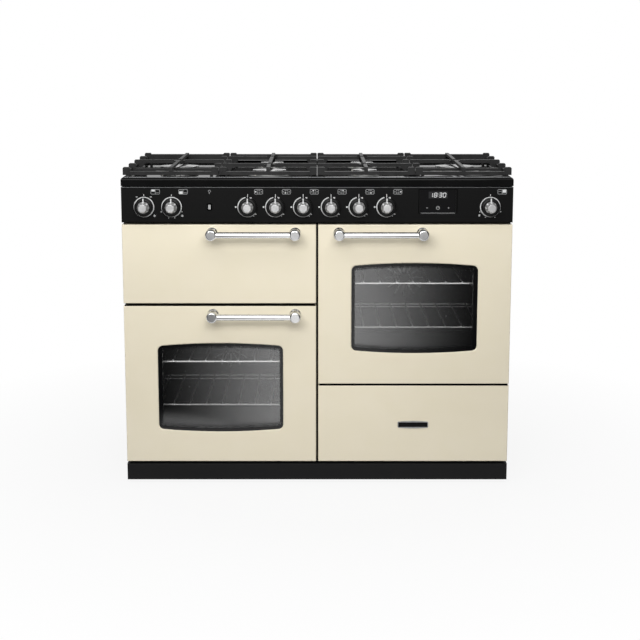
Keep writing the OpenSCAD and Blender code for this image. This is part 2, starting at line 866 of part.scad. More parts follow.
tap_w = 26;
tap_h = 30;
rail_bore_wall = 2.5;
rail_end = 40;
rail_plug = 10;
rail_x0 = gas_x - gas_rail_w / 2;
rail_x1 = knob_xs[5] + rail_end;
rail_post_w = 20;
rail_post_foot = 5;
rail_post_set = 2;
rail_post_xs = [knob_xs[0] - hob_knob_step, 0, knob_xs[5] + hob_knob_step / 3];

// Rail with its six taps, on three posts
module gas_rail() {
    color("#B08D45") {
        difference() {
            slab([rail_x0, rail_x1], [y_rail, y_rail + gas_rail_w],
                [z_gas - gas_rail_w / 2, z_gas + gas_rail_w / 2]);
            rod_x(gas_rail_w - 2 * rail_bore_wall, rail_x0 + rail_plug, rail_x1 - rail_plug,
                y_rail + gas_rail_w / 2, z_gas);
        }
        for (x = knob_xs) difference() {
            slab([x - tap_w / 2, x + tap_w / 2], [y_tap, y_rail], [z_gas - tap_h / 2, z_gas + tap_h / 2]);
            rod_y(spindle_d + 2 * running, y_tap - over, y_tap + spindle_in + push_travel + over, x, z_gas);
        }
        for (x = rail_post_xs) {
            slab([x - rail_post_w / 2, x + rail_post_w / 2], [y_frame + rail_post_set, y_rail + gas_rail_w],
                [z_frame_top, z_frame_top + rail_post_foot]);
            slab([x - rail_post_w / 2, x + rail_post_w / 2], [y_rail, y_rail + gas_rail_w],
                [z_frame_top, z_gas - gas_rail_w / 2]);
        }
    }
}

inlet_bore_l = 20;
y_socket = y_back - 1;

// Pipe from the rail to the hexagonal inlet socket at the back
module gas_pipe() {
    color("#B08D45") {
        rod_y(gas_rail_w, y_rail + gas_rail_w, y_socket - socket_l + over, gas_x, z_gas);
        difference() {
            translate([gas_x, y_socket, z_gas]) rotate([90, 0, 0])
                cylinder(d = socket_d, h = socket_l, $fn = 6);
            rod_y(inlet_d, y_socket - inlet_bore_l, y_back + over, gas_x, z_gas);
        }
    }
}

// Control body with a bore for its shaft, fixed to the back of the control panel
module control_body(x) {
    y0 = y_face + fold_t;
    difference() {
        slab([x - control_w / 2, x + control_w / 2], [y0, y0 + control_l],
            [z_knob - control_w / 2, z_knob + control_w / 2]);
        rod_y(oven_shaft_d + 2 * running, y0 - over, y0 + shaft_in + over, x, z_knob);
    }
}

button_stem_d = 8;
button_stem_l = 18;
button_head_l = 5;
button_travel = 2.5;
button_tab_w = 3.6;
button_tab_h = 10;
button_tab_l = 3;
switch_w = 28;
switch_h = 32;

module oven_controls() {
    color(steel) {
        for (x = [grill_knob_x, left_knob_x, end_knob_x]) control_body(x);
        y0 = y_face + fold_t;
        difference() {
            slab([button_x - switch_w / 2, button_x + switch_w / 2], [y0, y0 + control_l],
                [z_knob - switch_h / 2, z_knob + switch_h / 2]);
            rod_y(button_d + 2 * bezel_gap, y0 - over, y0 + button_head_l + button_travel, button_x, z_knob);
            rod_y(button_stem_d + 2 * running, y0, y0 + button_stem_l + button_travel + over,
                button_x, z_knob);
        }
    }
}

module light_button() {
    color("#3A3A3A") {
        rod_y(button_d, y_face + 1, y_face + fold_t + button_head_l, button_x, z_knob);
        slab([button_x - button_tab_w / 2, button_x + button_tab_w / 2],
            [y_face - button_tab_l, y_face + 2], [z_knob - button_tab_h / 2, z_knob + button_tab_h / 2]);
        rod_y(button_stem_d, y_face + fold_t, y_face + fold_t + button_stem_l, button_x, z_knob);
    }
}

module spindle(i) {
    color(steel) rod_y(spindle_d, y_skirt - spindle_seat, y_tap + spindle_in, knob_xs[i], z_knob);
}

flute_n = 12;
flute_d = 3.2;
flute_front = 5;
grip_edge = 1.5;
skirt_edge = 1.5;
skirt_brow = 3;
skirt_side = 8;
pointer_w = 2.5;
pointer_t = 3.6;

// Knob turned about its axis at x, with its skirt's back at y_skirt
module knob_shape(x) {
    difference() {
        translate([x, y_skirt, z_knob]) rotate([90, 0, 0]) {
            rotate_extrude($fn = 64) polygon([
                [0, 0], [skirt_d / 2 - skirt_edge, 0], [skirt_d / 2, skirt_edge], [skirt_d / 2, skirt_side],
                [skirt_d / 2 - skirt_brow, skirt_t], [grip_d / 2 + 1, skirt_t - skirt_edge],
                [grip_d / 2, skirt_t],
                [grip_front_d / 2, skirt_t + grip_l - grip_edge],
                [grip_front_d / 2 - grip_edge, skirt_t + grip_l], [0, skirt_t + grip_l]
            ]);
            translate([-pointer_w / 2, grip_front_d / 2 - 1, skirt_t - skirt_brow])
                cube([pointer_w, (skirt_d - grip_front_d) / 2 - 2, pointer_t]);
        }
        for (i = [0:flute_n - 1]) {
            a = i * 360 / flute_n + 180 / flute_n;
            r = grip_d / 2 + flute_d / 10;
            rod_y(flute_d, y_grip - grip_l + flute_front, y_grip - 1, x + r * cos(a), z_knob + r * sin(a));
        }
    }
}

module hob_knob(i) {
    color(cast_black) difference() {
        knob_shape(knob_xs[i]);
        rod_y(spindle_d + 2 * running, y_skirt - spindle_seat - seat, y_skirt + over, knob_xs[i], z_knob);
    }
}

module oven_knob(x) {
    color(cast_black) {
        knob_shape(x);
        rod_y(oven_shaft_d, y_skirt - 2, y_face + fold_t + shaft_in, x, z_knob);
    }
}

terminal_w = 110;
terminal_h = 70;
terminal_l = 44;
terminal_wall = 3;
gland_l = 12;
gland_root = 10;

module terminal_box() {
    color(steel) difference() {
        union() {
            slab([gland_x - terminal_w / 2, gland_x + terminal_w / 2], [y_back_in - terminal_l, y_back_in],
                [z_gland - terminal_h / 2, z_gland + terminal_h / 2]);
            rod_y(gland_boss_d, y_back_in - gland_root, y_back, gland_x, z_gland);
        }
        slab([gland_x - terminal_w / 2 + terminal_wall, gland_x + terminal_w / 2 - terminal_wall],
            [y_back_in - terminal_l + terminal_wall, y_back - gland_l],
            [z_gland - terminal_h / 2 + terminal_wall, z_gland + terminal_h / 2 - terminal_wall]);
        rod_y(gland_d, y_back_in - terminal_l / 2, y_back + over, gland_x, z_gland);
    }
}

// Grill and ovens

// Enamelled box, open at the front
module liner(x, w, z0, h, y1) {
    difference() {
        slab([x - w / 2 - liner_t, x + w / 2 + liner_t], [y_liner, y1 + liner_t],
            [z0 - liner_t, z0 + h + liner_t]);
        slab([x - w / 2, x + w / 2], [y_liner - over, y1], [z0, z0 + h]);
    }
}

pan_ledge = 8;
pan_ledge_z = 78;
pan_ledge_t = 5;
pan_gap = 4;
pan_w = cavity_w - 2 * (pan_ledge + pan_gap);
pan_rim = 6;
pan_deep = 34;
pan_set = 12;
pan_l = grill_cavity_d - 5 * pan_set;
pan_wall = 1.5;
grid_wire_d = 3;
grid_n = 13;
grid_edge = 10;
grid_side = 14;

module grill_liner() {
    color(enamel_black) {
        liner(-column_x, cavity_w, z_grill_cavity, grill_cavity_h, y_grill_back);
        z = z_grill_cavity + pan_ledge_z;
        for (s = [-1, 1]) {
            x = -column_x + s * (cavity_w / 2 - pan_ledge / 2);
            slab([x - pan_ledge / 2, x + pan_ledge / 2], [y_liner, y_grill_back],
                [z - pan_ledge_t, z]);
        }
    }
}

module grill_pan() {
    x0 = -column_x - pan_w / 2;
    x1 = -column_x + pan_w / 2;
    y0 = y_liner + pan_set;
    z1 = z_grill_cavity + pan_ledge_z + pan_wall;
    color(steel) {
        difference() {
            union() {
                slab([x0, x1], [y0, y0 + pan_l], [z1 - pan_deep, z1]);
                slab([x0 - pan_rim, x1 + pan_rim], [y0, y0 + pan_l], [z1 - pan_wall, z1]);
            }
            slab([x0 + pan_wall, x1 - pan_wall], [y0 + pan_wall, y0 + pan_l - pan_wall],
                [z1 - pan_deep + pan_wall, z1 + over]);
        }
        zg = z1 + wire_d / 2;
        for (y = [y0 + grid_edge, y0 + pan_l - grid_edge]) rod_x(wire_d, x0, x1, y, zg);
        for (i = [0:grid_n - 1]) {
            x = x0 + grid_side + i * (pan_w - 2 * grid_side) / (grid_n - 1);
            rod_y(grid_wire_d, y0 + grid_edge, y0 + pan_l - grid_edge, x, zg);
        }
    }
}

shaft_hole_gap = 2;

module oven_liner(x, z0) {
    color(enamel_black) difference() {
        liner(x, cavity_w, z0, cavity_h, y_cavity_back);
        rod_y(shaft_d + 2 * shaft_hole_gap, y_cavity_back - over, y_cavity_back + liner_t + over,
            x, z0 + cavity_h / 2);
        rod_y(lamp_d + 2 * seat, y_cavity_back - over, y_cavity_back + liner_t + over,
            x + lamp_x, z0 + lamp_z);
    }
}

module oven_liners() {
    oven_liner(-column_x, z_left_cavity);
    oven_liner(column_x, z_right_cavity);
}

lamp_d = 44;
lamp_side = 42;
lamp_drop = 46;
lamp_x = cavity_w / 2 - lamp_side;
lamp_z = cavity_h - lamp_drop;
lamp_holder_l = 30;
lamp_front = 6;
lamp_flange_t = 4;
dome_l = 9;

// Oven lamp: dome, flange and holder through the rear wall
module oven_lamp(x, z0) {
    rod_y(lamp_d, y_cavity_back - lamp_front, y_cavity_back + lamp_holder_l, x + lamp_x, z0 + lamp_z);
    rod_y(lamp_d + 2 * lamp_flange_t, y_cavity_back - lamp_flange_t, y_cavity_back,
        x + lamp_x, z0 + lamp_z);
    translate([x + lamp_x, y_cavity_back - lamp_front, z0 + lamp_z]) rotate([90, 0, 0])
        cylinder(d1 = lamp_d - lamp_flange_t, d2 = lamp_d / 2, h = dome_l);
}

module oven_lamps() {
    color("lightyellow") {
        oven_lamp(-column_x, z_left_cavity);
        oven_lamp(column_x, z_right_cavity);
    }
}

rung_n = 5;
rung_side = 10;
rung_x = cavity_w / 2 - rung_side;
upright_x = rung_x + wire_d - 1;
upright_set = 20;
ladder_end = 12;
ladder_y0 = y_liner + ladder_end;
ladder_y1 = y_liner + shelf_set + shelf_d + ladder_end;
shelf_in = 2;
shelf_x = rung_x - shelf_in;
shelf_float = 0.1;
shelf_lift = sqrt(pow((shelf_rod_d + wire_d) / 2, 2) - pow(shelf_in, 2)) + shelf_float;

// Height of a shelf's frame wire at place i above the oven floor at z0
function shelf_z(z0, i) = z0 + shelf_low + i * shelf_step;

// Wire ladder on the right-hand wall of a cavity
module ladder(z0) {
    low = shelf_z(z0, -1) - shelf_lift;
    high = shelf_z(z0, rung_n - 2) - shelf_lift;
    for (i = [0:rung_n - 1])
        rod_y(wire_d, ladder_y0, ladder_y1, rung_x, low + i * shelf_step);
    for (y = [ladder_y0 + upright_set, ladder_y1 - upright_set]) {
        rod_z(wire_d, low - ladder_end, high + ladder_end, upright_x, y);
        for (z = [low - ladder_end / 2, high + ladder_end / 2])
            rod_x(wire_d, upright_x, cavity_w / 2, y, z);
    }
}

module shelf_rails() {
    color(chrome) for (c = [[-column_x, z_left_cavity], [column_x, z_right_cavity]])
        translate([c[0], 0, 0]) both_sides() ladder(c[1]);
}

shelf_y0 = y_liner + shelf_set;
shelf_bend = 14;
cross_rod_in = 42;
cross_rod_y = shelf_d - cross_rod_in;

// Wire shelf with its frame wire's centre at height z
module shelf(z) {
    y1 = shelf_y0 + shelf_d;
    bend_x = shelf_x - shelf_bend;
    for (y = [shelf_y0, y1]) rod_x(shelf_rod_d, -bend_x, bend_x, y, z);
    both_sides() {
        rod_y(shelf_rod_d, shelf_y0 + shelf_bend, y1 - shelf_bend, shelf_x, z);
        for (c = [[shelf_y0 + shelf_bend, -90], [y1 - shelf_bend, 0]])
            translate([bend_x, c[0], z]) rotate([0, 0, c[1]]) rotate_extrude(angle = 90)
                translate([shelf_bend, 0]) circle(d = shelf_rod_d, $fn = 24);
    }
    rod_x(wire_d - 1, -shelf_x, shelf_x, shelf_y0 + cross_rod_y, z);
    for (i = [-4:4])
        rod_y(wire_d - 1, shelf_y0 - shelf_rod_d / 3, y1 + shelf_rod_d / 3,
            i * shelf_pitch, z + shelf_rod_d / 2);
}

module oven_shelves() {
    color(chrome) for (c = [[-column_x, z_left_cavity], [column_x, z_right_cavity]], i = [0, 2])
        translate([c[0], 0, 0]) shelf(shelf_z(c[1], i));
}

cover_w = 300;
cover_h = 280;
cover_post_d = 10;
cover_post_in = 14;
y_cover = y_cavity_back - cover_gap;
cover_slot_n = 12;
cover_slot_r = 16;
cover_slot_w = 6;
cover_slot_in = 10;
cover_slot_l = fan_d / 2 - cover_slot_in - cover_slot_r;

// Baffle on four posts in front of the fan, with a ring of intake slots
module fan_cover(x, zc) {
    difference() {
        slab([x - cover_w / 2, x + cover_w / 2], [y_cover, y_cover + cover_t],
            [zc - cover_h / 2, zc + cover_h / 2]);
        for (i = [0:cover_slot_n - 1])
            translate([x, y_cover - over, zc]) rotate([0, i * 360 / cover_slot_n, 0])
                translate([cover_slot_r, 0, -cover_slot_w / 2])
                    cube([cover_slot_l, cover_t + 2 * over, cover_slot_w]);
    }
    for (sx = [-1, 1], sz = [-1, 1])
        rod_y(cover_post_d, y_cover + cover_t / 2, y_cavity_back, x + sx * (cover_w / 2 - cover_post_in),
            zc + sz * (cover_h / 2 - cover_post_in));
}

module fan_covers() {
    color(enamel_black) {
        fan_cover(-column_x, z_left_fan);
        fan_cover(column_x, z_right_fan);
    }
}

fan_t = 18;
fan_disc_t = 1.5;
blade_n = 9;
blade_t = 2;
shaft_end = 12;
y_fan = y_cavity_back - cover_gap / 2 - fan_t / 2;
hub_d = 24;

module fan(x, zc) {
    color(steel) {
        rod_y(fan_d, y_fan + fan_t - fan_disc_t, y_fan + fan_t, x, zc);
        rod_y(hub_d, y_fan, y_fan + fan_t, x, zc);
        rod_y(shaft_d, y_fan, y_cavity_back + liner_t + motor_l - shaft_end, x, zc);
        for (i = [0:blade_n - 1])
            translate([x, y_fan, zc]) rotate([0, i * 360 / blade_n, 0])
                translate([hub_d / 2 - 1, 0, -blade_t / 2])
                    cube([(fan_d - hub_d) / 2 - 1, fan_t - fan_disc_t / 2, blade_t]);
    }
}

tail_turn = 9;

// Ring element round the fan with two tails into the rear wall
module ring_element(x, zc) {
    yc = y_fan + fan_t / 2;
    translate([x, yc, zc]) rotate([90, 0, 0]) rotate_extrude()
        translate([ring_d / 2, 0]) circle(d = tube_d, $fn = 24);
    for (s = [-1, 1]) {
        a = 90 + s * tail_turn;
        rod_y(tube_d, yc, y_cavity_back, x + ring_d / 2 * cos(a), zc + ring_d / 2 * sin(a));
    }
}

grill_run_x = 160;
grill_run_n = 6;
grill_pitch = 44;
grill_drop = 16;
grill_set = 60;
clip_w = 8;
clip_x = grill_run_x * 0.6;

// Snaking tube under the grill's roof: straight runs joined by half rings
module grill_element() {
    z = z_grill_cavity + grill_cavity_h - grill_drop;
    y0 = y_liner + grill_set;
    y1 = y0 + (grill_run_n - 1) * grill_pitch;
    for (i = [0:grill_run_n - 1])
        rod_x(tube_d, -column_x - grill_run_x, -column_x + grill_run_x, y0 + i * grill_pitch, z);
    for (i = [0:grill_run_n - 2]) {
        s = i % 2 == 0 ? 1 : -1;
        translate([-column_x + s * grill_run_x, y0 + (i + 0.5) * grill_pitch, z])
            rotate([0, 0, s > 0 ? -90 : 90]) rotate_extrude(angle = 180)
                translate([grill_pitch / 2, 0]) circle(d = tube_d, $fn = 24);
    }
    rod_y(tube_d, y0, y_grill_back, -column_x - grill_run_x, z);
    rod_y(tube_d, y1, y_grill_back, -column_x + grill_run_x - grill_drop, z);
    for (x = [-clip_x, clip_x])
        slab([-column_x + x - clip_w / 2, -column_x + x + clip_w / 2], [y0 - clip_w, y1 + clip_w],
            [z, z_grill_cavity + grill_cavity_h]);
}

module heating_elements() {
    color(steel) {
        ring_element(-column_x, z_left_fan);
        ring_element(column_x, z_right_fan);
        grill_element();
    }
}

motor_plate_t = 5;
motor_plate_x = motor_d * 0.7;
motor_plate_z = motor_d * 0.4;

module fan_motor(x, zc) {
    y0 = y_cavity_back + liner_t;
    difference() {
        union() {
            rod_y(motor_d, y0 + motor_plate_t - over, y0 + motor_l, x, zc);
            slab([x - motor_plate_x, x + motor_plate_x], [y0, y0 + motor_plate_t],
                [zc - motor_plate_z, zc + motor_plate_z]);
        }
        rod_y(shaft_d + 2 * running, y0 - over, y0 + motor_l - shaft_end + 2 * over, x, zc);
    }
}

module fan_motors() {
    color(steel) {
        fan_motor(-column_x, z_left_fan);
        fan_motor(column_x, z_right_fan);
    }
}

seal_out = 3;

module seal_ring(x, z0, h) {
    upright(y_frame - seal_t, y_frame) difference() {
        translate([x - cavity_w / 2 - seal_out - seal_w, z0 - seal_out - seal_w])
            square([cavity_w + 2 * (seal_out + seal_w), h + 2 * (seal_out + seal_w)]);
        translate([x - cavity_w / 2 - seal_out, z0 - seal_out])
            square([cavity_w + 2 * seal_out, h + 2 * seal_out]);
    }
}

module door_seals() {
    color("dimgray") {
        seal_ring(-column_x, z_left_cavity, cavity_h);
        seal_ring(column_x, z_right_cavity, cavity_h);
        seal_ring(-column_x, z_grill_cavity, grill_cavity_h);
    }
}

// Doors

// Skin folded from one sheet, with a flange round its open back
module door_skin(x0, x1, z0, h) {
    difference() {
        soft_front([x0, x1], [y_face, y_door_back], [z0, z0 + h], skin_r);
        slab([x0 + skin_t, x1 - skin_t], [y_face + skin_t, y_door_back - skin_t],
            [z0 + skin_t, z0 + h - skin_t]);
        slab([x0 + flange_w, x1 - flange_w], [y_door_back - skin_t - over, y_door_back + over],
            [z0 + flange_w, z0 + h - flange_w]);
    }
}

// Radius of a window's upper and lower arcs, the angle at which its corner arcs meet them, and the
// points drawn on each
window_big_r = (pow(window_w / 2, 2) + pow(window_rise, 2)) / (2 * window_rise);
function window_turn() = acos((window_w / 2 - window_r) / (window_big_r - window_r));
corner_steps = 8;
arc_steps = 12;

// Quarter of the window's outline, grown outwards by g
function window_quarter(g) = let (
    turn = window_turn(),
    base_z = window_h / 2 - window_big_r,
    cx = window_w / 2 - window_r,
    cz = base_z + (window_big_r - window_r) * sin(turn)
) concat(
    [for (i = [0:corner_steps]) let (a = turn * i / corner_steps)
        [cx + (window_r + g) * cos(a), cz + (window_r + g) * sin(a)]],
    [for (i = [1:arc_steps]) let (a = turn + (90 - turn) * i / arc_steps)
        [(window_big_r + g) * cos(a), base_z + (window_big_r + g) * sin(a)]]
);

function reversed(p) = [for (i = [len(p) - 1:-1:0]) p[i]];

module window_shape(g) {
    q = window_quarter(g);
    n = len(q);
    top = concat(q, [for (i = [n - 2:-1:0]) [-q[i][0], q[i][1]]]);
    polygon(concat(top, [for (p = reversed(top)) [p[0], -p[1]]]));
}

block_end = 3;
block_h = lug_t + 2 * (pin_reach + block_end);
block_in = skin_r / 3;
glass_lap = 15;
inner_lip = 10;

// Left-hand oven door: skin with hinge blocks and window, and its inner panel
module oven_door(z0, h) {
    x0 = -half_w;
    x1 = -column_gap / 2;
    ax = x0 + hinge_x;
    ay = y_face + hinge_y;
    zw = z0 + h / 2 - window_drop;
    difference() {
        union() {
            door_skin(x0, x1, z0, h);
            for (z = [z0 + hinge_end, z0 + h - hinge_end])
                slab([x0 + block_in, x0 + flange_w], [y_face + block_in, y_door_back],
                    [z - block_h / 2, z + block_h / 2]);
        }
        translate([-column_x, 0, zw]) upright(y_face - over, y_face + skin_t + over) window_shape(0);
        for (z = [z0 + hinge_end, z0 + h - hinge_end]) {
            slab([x0 - over, ax + lug_w / 2 + knuckle_gap], [y_face + skin_t, y_door_back + over],
                [z - lug_t / 2 - knuckle_gap / 2, z + lug_t / 2 + knuckle_gap / 2]);
            rod_z(pin_d + 2 * running, z - block_h / 2 + over, z + block_h / 2 - over, ax, ay);
        }
    }
    difference() {
        slab([x0 + flange_w + seat, x1 - flange_w - seat], [y_door_back - inner_t, y_door_back],
            [z0 + flange_w + seat, z0 + h - flange_w - seat]);
        translate([-column_x, 0, zw]) upright(y_door_back - inner_t - over, y_door_back + over)
            window_shape(-inner_lip);
    }
}

module oven_glass(z0, h) {
    zw = z0 + h / 2 - window_drop;
    translate([-column_x, 0, zw]) {
        upright(y_face + skin_t, y_face + skin_t + glass_t) window_shape(glass_lap);
        upright(y_door_back - inner_t - glass_t, y_door_back - inner_t) window_shape(glass_lap - inner_lip);
    }
}

post_edge = 2.5;
flange_side = 4;
flange_brow = 2;
neck_start = 9;

// Handle with its centre at x and z
module handle(x, z) {
    for (s = [-1, 1]) translate([x + s * handle_c / 2, y_face, z]) rotate([90, 0, 0])
        rotate_extrude() polygon([
            [0, 0], [post_flange_d / 2, 0], [post_flange_d / 2, flange_side],
            [post_flange_d / 2 - flange_brow, flange_side + flange_brow], [post_neck_d / 2, neck_start],
            [post_neck_d / 2, bar_y - post_cap_d / 2 - post_edge],
            [post_cap_d / 2, bar_y - post_cap_d / 2], [post_cap_d / 2, handle_reach - post_edge],
            [post_cap_d / 2 - post_edge, handle_reach], [0, handle_reach]
        ]);
    rod_x(bar_d, x - handle_c / 2, x + handle_c / 2, y_face - bar_y, z);
}

handle_x = column_gap / 2 + handle_end + handle_c / 2;

module left_oven_door() {
    color(cream) oven_door(z_doors, left_door_h);
}

module right_oven_door() {
    color(cream) mirror([1, 0, 0]) oven_door(z_right_door, right_door_h);
}

module grill_door() {
    x0 = -half_w;
    x1 = -column_gap / 2;
    ay = y_face + grill_hinge_y;
    az = z_grill_door + grill_hinge_z;
    color(cream) {
        difference() {
            union() {
                door_skin(x0, x1, z_grill_door, grill_door_h);
                for (x = grill_lug_xs)
                    slab([x - block_h / 2, x + block_h / 2], [y_face + block_in, y_door_back],
                        [z_grill_door + block_in, z_grill_door + flange_w]);
            }
            for (x = grill_lug_xs) {
                slab([x - lug_t / 2 - knuckle_gap / 2, x + lug_t / 2 + knuckle_gap / 2],
                    [y_face + skin_t, y_door_back + over],
                    [z_grill_door - over, az + lug_w / 2 + knuckle_gap]);
                rod_x(pin_d + 2 * running, x - block_h / 2 + over, x + block_h / 2 - over, ay, az);
            }
        }
        slab([x0 + flange_w + seat, x1 - flange_w - seat], [y_door_back - inner_t, y_door_back],
            [z_grill_door + flange_w + seat, z_doors_top - flange_w - seat]);
    }
}

module grill_handle() {
    color(chrome) handle(-handle_x, z_doors_top - handle_drop);
}

module left_handle() {
    color(chrome) handle(-handle_x, z_doors + left_door_h - handle_drop);
}

module right_handle() {
    color(chrome) handle(handle_x, z_doors_top - handle_drop);
}

module left_window_glass() {
    color(dark_glass) oven_glass(z_doors, left_door_h);
}

module right_window_glass() {
    color(dark_glass) mirror([1, 0, 0]) oven_glass(z_right_door, right_door_h);
}

// Drawer

drawer_plate_t = 2;
drawer_plate_lap = 6;
tongue_set = 8;

module drawer_front() {
    color(cream) door_skin(column_gap / 2, half_w, z_doors, drawer_front_h);
}

module drawer_box() {
    x0 = drawer_x - drawer_w / 2;
    x1 = drawer_x + drawer_w / 2;
    y0 = y_door_back;
    y1 = y0 + drawer_d;
    plate_in = flange_w - drawer_plate_lap;
    color(steel) {
        difference() {
            union() {
                slab([x0, x1], [y0, y1], [z_drawer, z_drawer + drawer_h]);
                slab([drawer_x - column_w / 2 + plate_in, drawer_x + column_w / 2 - plate_in],
                    [y0, y0 + drawer_plate_t], [z_doors + plate_in, z_doors + drawer_front_h - plate_in]);
            }
            slab([x0 + drawer_wall, x1 - drawer_wall], [y0 + drawer_wall, y1 - drawer_wall],
                [z_drawer + drawer_wall, z_drawer + drawer_h + over]);
        }
        for (s = [-1, 1]) {
            x = drawer_x + s * (drawer_w / 2 + tongue_w / 2);
            slab([x - tongue_w / 2, x + tongue_w / 2], [y_frame + tongue_set, y1],
                [z_tongue - tongue_h / 2, z_tongue + tongue_h / 2]);
        }
    }
}

runner_wall = 3;
runner_l = drawer_d;
bracket_t = 4;
bracket_h = 44;
bracket_n = 3;
bracket_set = 30;

// Block on side s of the drawer, between two distances from its middle
module beside_drawer(s, a, b, ys, zs) {
    slab([drawer_x + min(s * a, s * b), drawer_x + max(s * a, s * b)], ys, zs);
}

// Fixed channel on side s, open towards the drawer, on brackets from a wall at distance wall_x
module drawer_runner(s, wall_x) {
    inner = drawer_w / 2 + slide_gap;
    groove_x = drawer_w / 2 + tongue_w + slide_gap;
    half_h = tongue_h / 2 + slide_gap;
    difference() {
        beside_drawer(s, inner, groove_x + runner_wall, [y_liner, y_liner + runner_l],
            [z_tongue - half_h - runner_wall, z_tongue + half_h + runner_wall]);
        beside_drawer(s, inner - over, groove_x, [y_liner - over, y_liner + runner_l + over],
            [z_tongue - half_h, z_tongue + half_h]);
    }
    for (i = [0:bracket_n - 1]) {
        y = y_liner + bracket_set + i * (runner_l - 2 * bracket_set) / (bracket_n - 1);
        beside_drawer(s, groove_x + runner_wall - 1, wall_x, [y - bracket_t / 2, y + bracket_t / 2],
            [z_tongue - bracket_h / 2, z_tongue + bracket_h / 2]);
    }
}

module drawer_runners() {
    color(steel) {
        drawer_runner(-1, drawer_x - divider_t / 2);
        drawer_runner(1, inner_x - drawer_x);
    }
}

base_frame();
side_panels();
rear_panel();
centre_divider();
front_frame();
plinth();
levelling_feet();
rear_rollers();
hob_tray();
burner_bases();
burner_heads();
burner_caps();
electrodes();
outer_pan_supports();
centre_pan_supports();
control_panel();
clock_module();
gas_rail();
gas_pipe();
oven_controls();
terminal_box();
grill_liner();
grill_pan();
oven_liners();
shelf_rails();
oven_shelves();
fan_covers();
heating_elements();
fan_motors();
fan(-column_x, z_left_fan);  // left_fan
fan(column_x, z_right_fan);  // right_fan
oven_lamps();
door_seals();
grill_door();
grill_handle();
left_oven_door();
left_window_glass();
left_handle();
right_oven_door();
right_window_glass();
right_handle();
drawer_runners();
drawer_front();
drawer_box();
spindle(0);  // tap_spindle_1
spindle(1);  // tap_spindle_2
spindle(2);  // tap_spindle_3
spindle(3);  // tap_spindle_4
spindle(4);  // tap_spindle_5
spindle(5);  // tap_spindle_6
hob_knob(0);  // hob_knob_1
hob_knob(1);  // hob_knob_2
hob_knob(2);  // hob_knob_3
hob_knob(3);  // hob_knob_4
hob_knob(4);  // hob_knob_5
hob_knob(5);  // hob_knob_6
oven_knob(grill_knob_x);  // grill_knob
oven_knob(left_knob_x);  // left_oven_knob
oven_knob(end_knob_x);  // right_oven_knob
light_button();
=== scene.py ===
# %% [markdown]
# # A range cooker dressed around its frame
# The construction of the cooker, with every hinge, slide and knob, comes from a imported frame. This
# script gives that frame its finishes and adds what is too fine for the construction: rounded
# edges, fluted knob grips, turned handles, printed dials, screws, linings and seals. Everything is
# in metres, in the frame's own axes: X to the right, Y to the back and Z up, doors facing -Y.

# %% Load the frame
import json
import math
import bmesh
import bpy
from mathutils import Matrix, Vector


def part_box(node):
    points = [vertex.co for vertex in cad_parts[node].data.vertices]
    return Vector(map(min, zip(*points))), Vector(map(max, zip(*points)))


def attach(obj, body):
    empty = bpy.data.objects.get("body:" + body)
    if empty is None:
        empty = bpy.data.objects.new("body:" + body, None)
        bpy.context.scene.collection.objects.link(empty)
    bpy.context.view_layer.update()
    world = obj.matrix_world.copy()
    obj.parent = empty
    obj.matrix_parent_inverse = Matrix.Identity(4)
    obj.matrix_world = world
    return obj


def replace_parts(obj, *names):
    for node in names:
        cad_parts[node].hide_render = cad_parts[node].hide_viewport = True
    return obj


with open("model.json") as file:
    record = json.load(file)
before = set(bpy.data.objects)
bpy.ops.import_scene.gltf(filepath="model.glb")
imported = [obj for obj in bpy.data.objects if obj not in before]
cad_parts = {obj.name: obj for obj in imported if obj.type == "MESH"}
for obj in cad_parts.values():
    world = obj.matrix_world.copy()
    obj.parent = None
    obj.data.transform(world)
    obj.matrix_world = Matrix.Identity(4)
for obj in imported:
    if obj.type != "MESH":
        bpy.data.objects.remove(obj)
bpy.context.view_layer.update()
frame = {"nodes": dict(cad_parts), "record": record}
MM = 0.001

# %% [markdown]
# ## The camera
# The photograph is taken from straight in front and well above the hob, with upright lines kept
# upright by a shifted lens. So large a shift would push the cooker out of every other view, so the
# camera tilts down and keeps a smaller shift. Its height is the photograph's, which shows as much
# of the hob, and it stands a little farther off, which narrows the doors less towards the floor.

# %% Camera
CAMERA_DISTANCE, CAMERA_HEIGHT = 3.6, 1.264
CAMERA_TILT = math.radians(9.09)
LENS_MM, SHIFT_X, SHIFT_Y = 72.7, 0.0045, -0.11
door_face_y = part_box("left_oven_door")[0].y


def linked(name, data):
    """New object in the scene for a mesh, a lamp or a camera."""
    thing = bpy.data.objects.new(name, data)
    bpy.context.scene.collection.objects.link(thing)
    return thing


camera = linked("camera", bpy.data.cameras.new("camera"))
camera.location = (0, door_face_y - CAMERA_DISTANCE, CAMERA_HEIGHT)
camera.rotation_euler = (math.pi / 2 - CAMERA_TILT, 0, 0)
camera.data.lens, camera.data.shift_x, camera.data.shift_y = LENS_MM, SHIFT_X, SHIFT_Y
bpy.context.scene.camera = camera
print("camera at", [round(v, 3) for v in camera.location])

# %% [markdown]
# ## Colours and nodes
# Colours are written as the sRGB codes that a paint chart gives, and one function turns them to
# the linear values that the shader works in. One more function adds a node to any tree, sets its
# values and links its inputs, so that a tree reads as a list of what goes into what.

# %% Colour and node helpers
def colour(code):
    """Linear RGBA of an sRGB hex code."""
    parts = [int(code[i:i + 2], 16) / 255 for i in (1, 3, 5)]
    return [p / 12.92 if p <= 0.04045 else ((p + 0.055) / 1.055) ** 2.4 for p in parts] + [1.0]


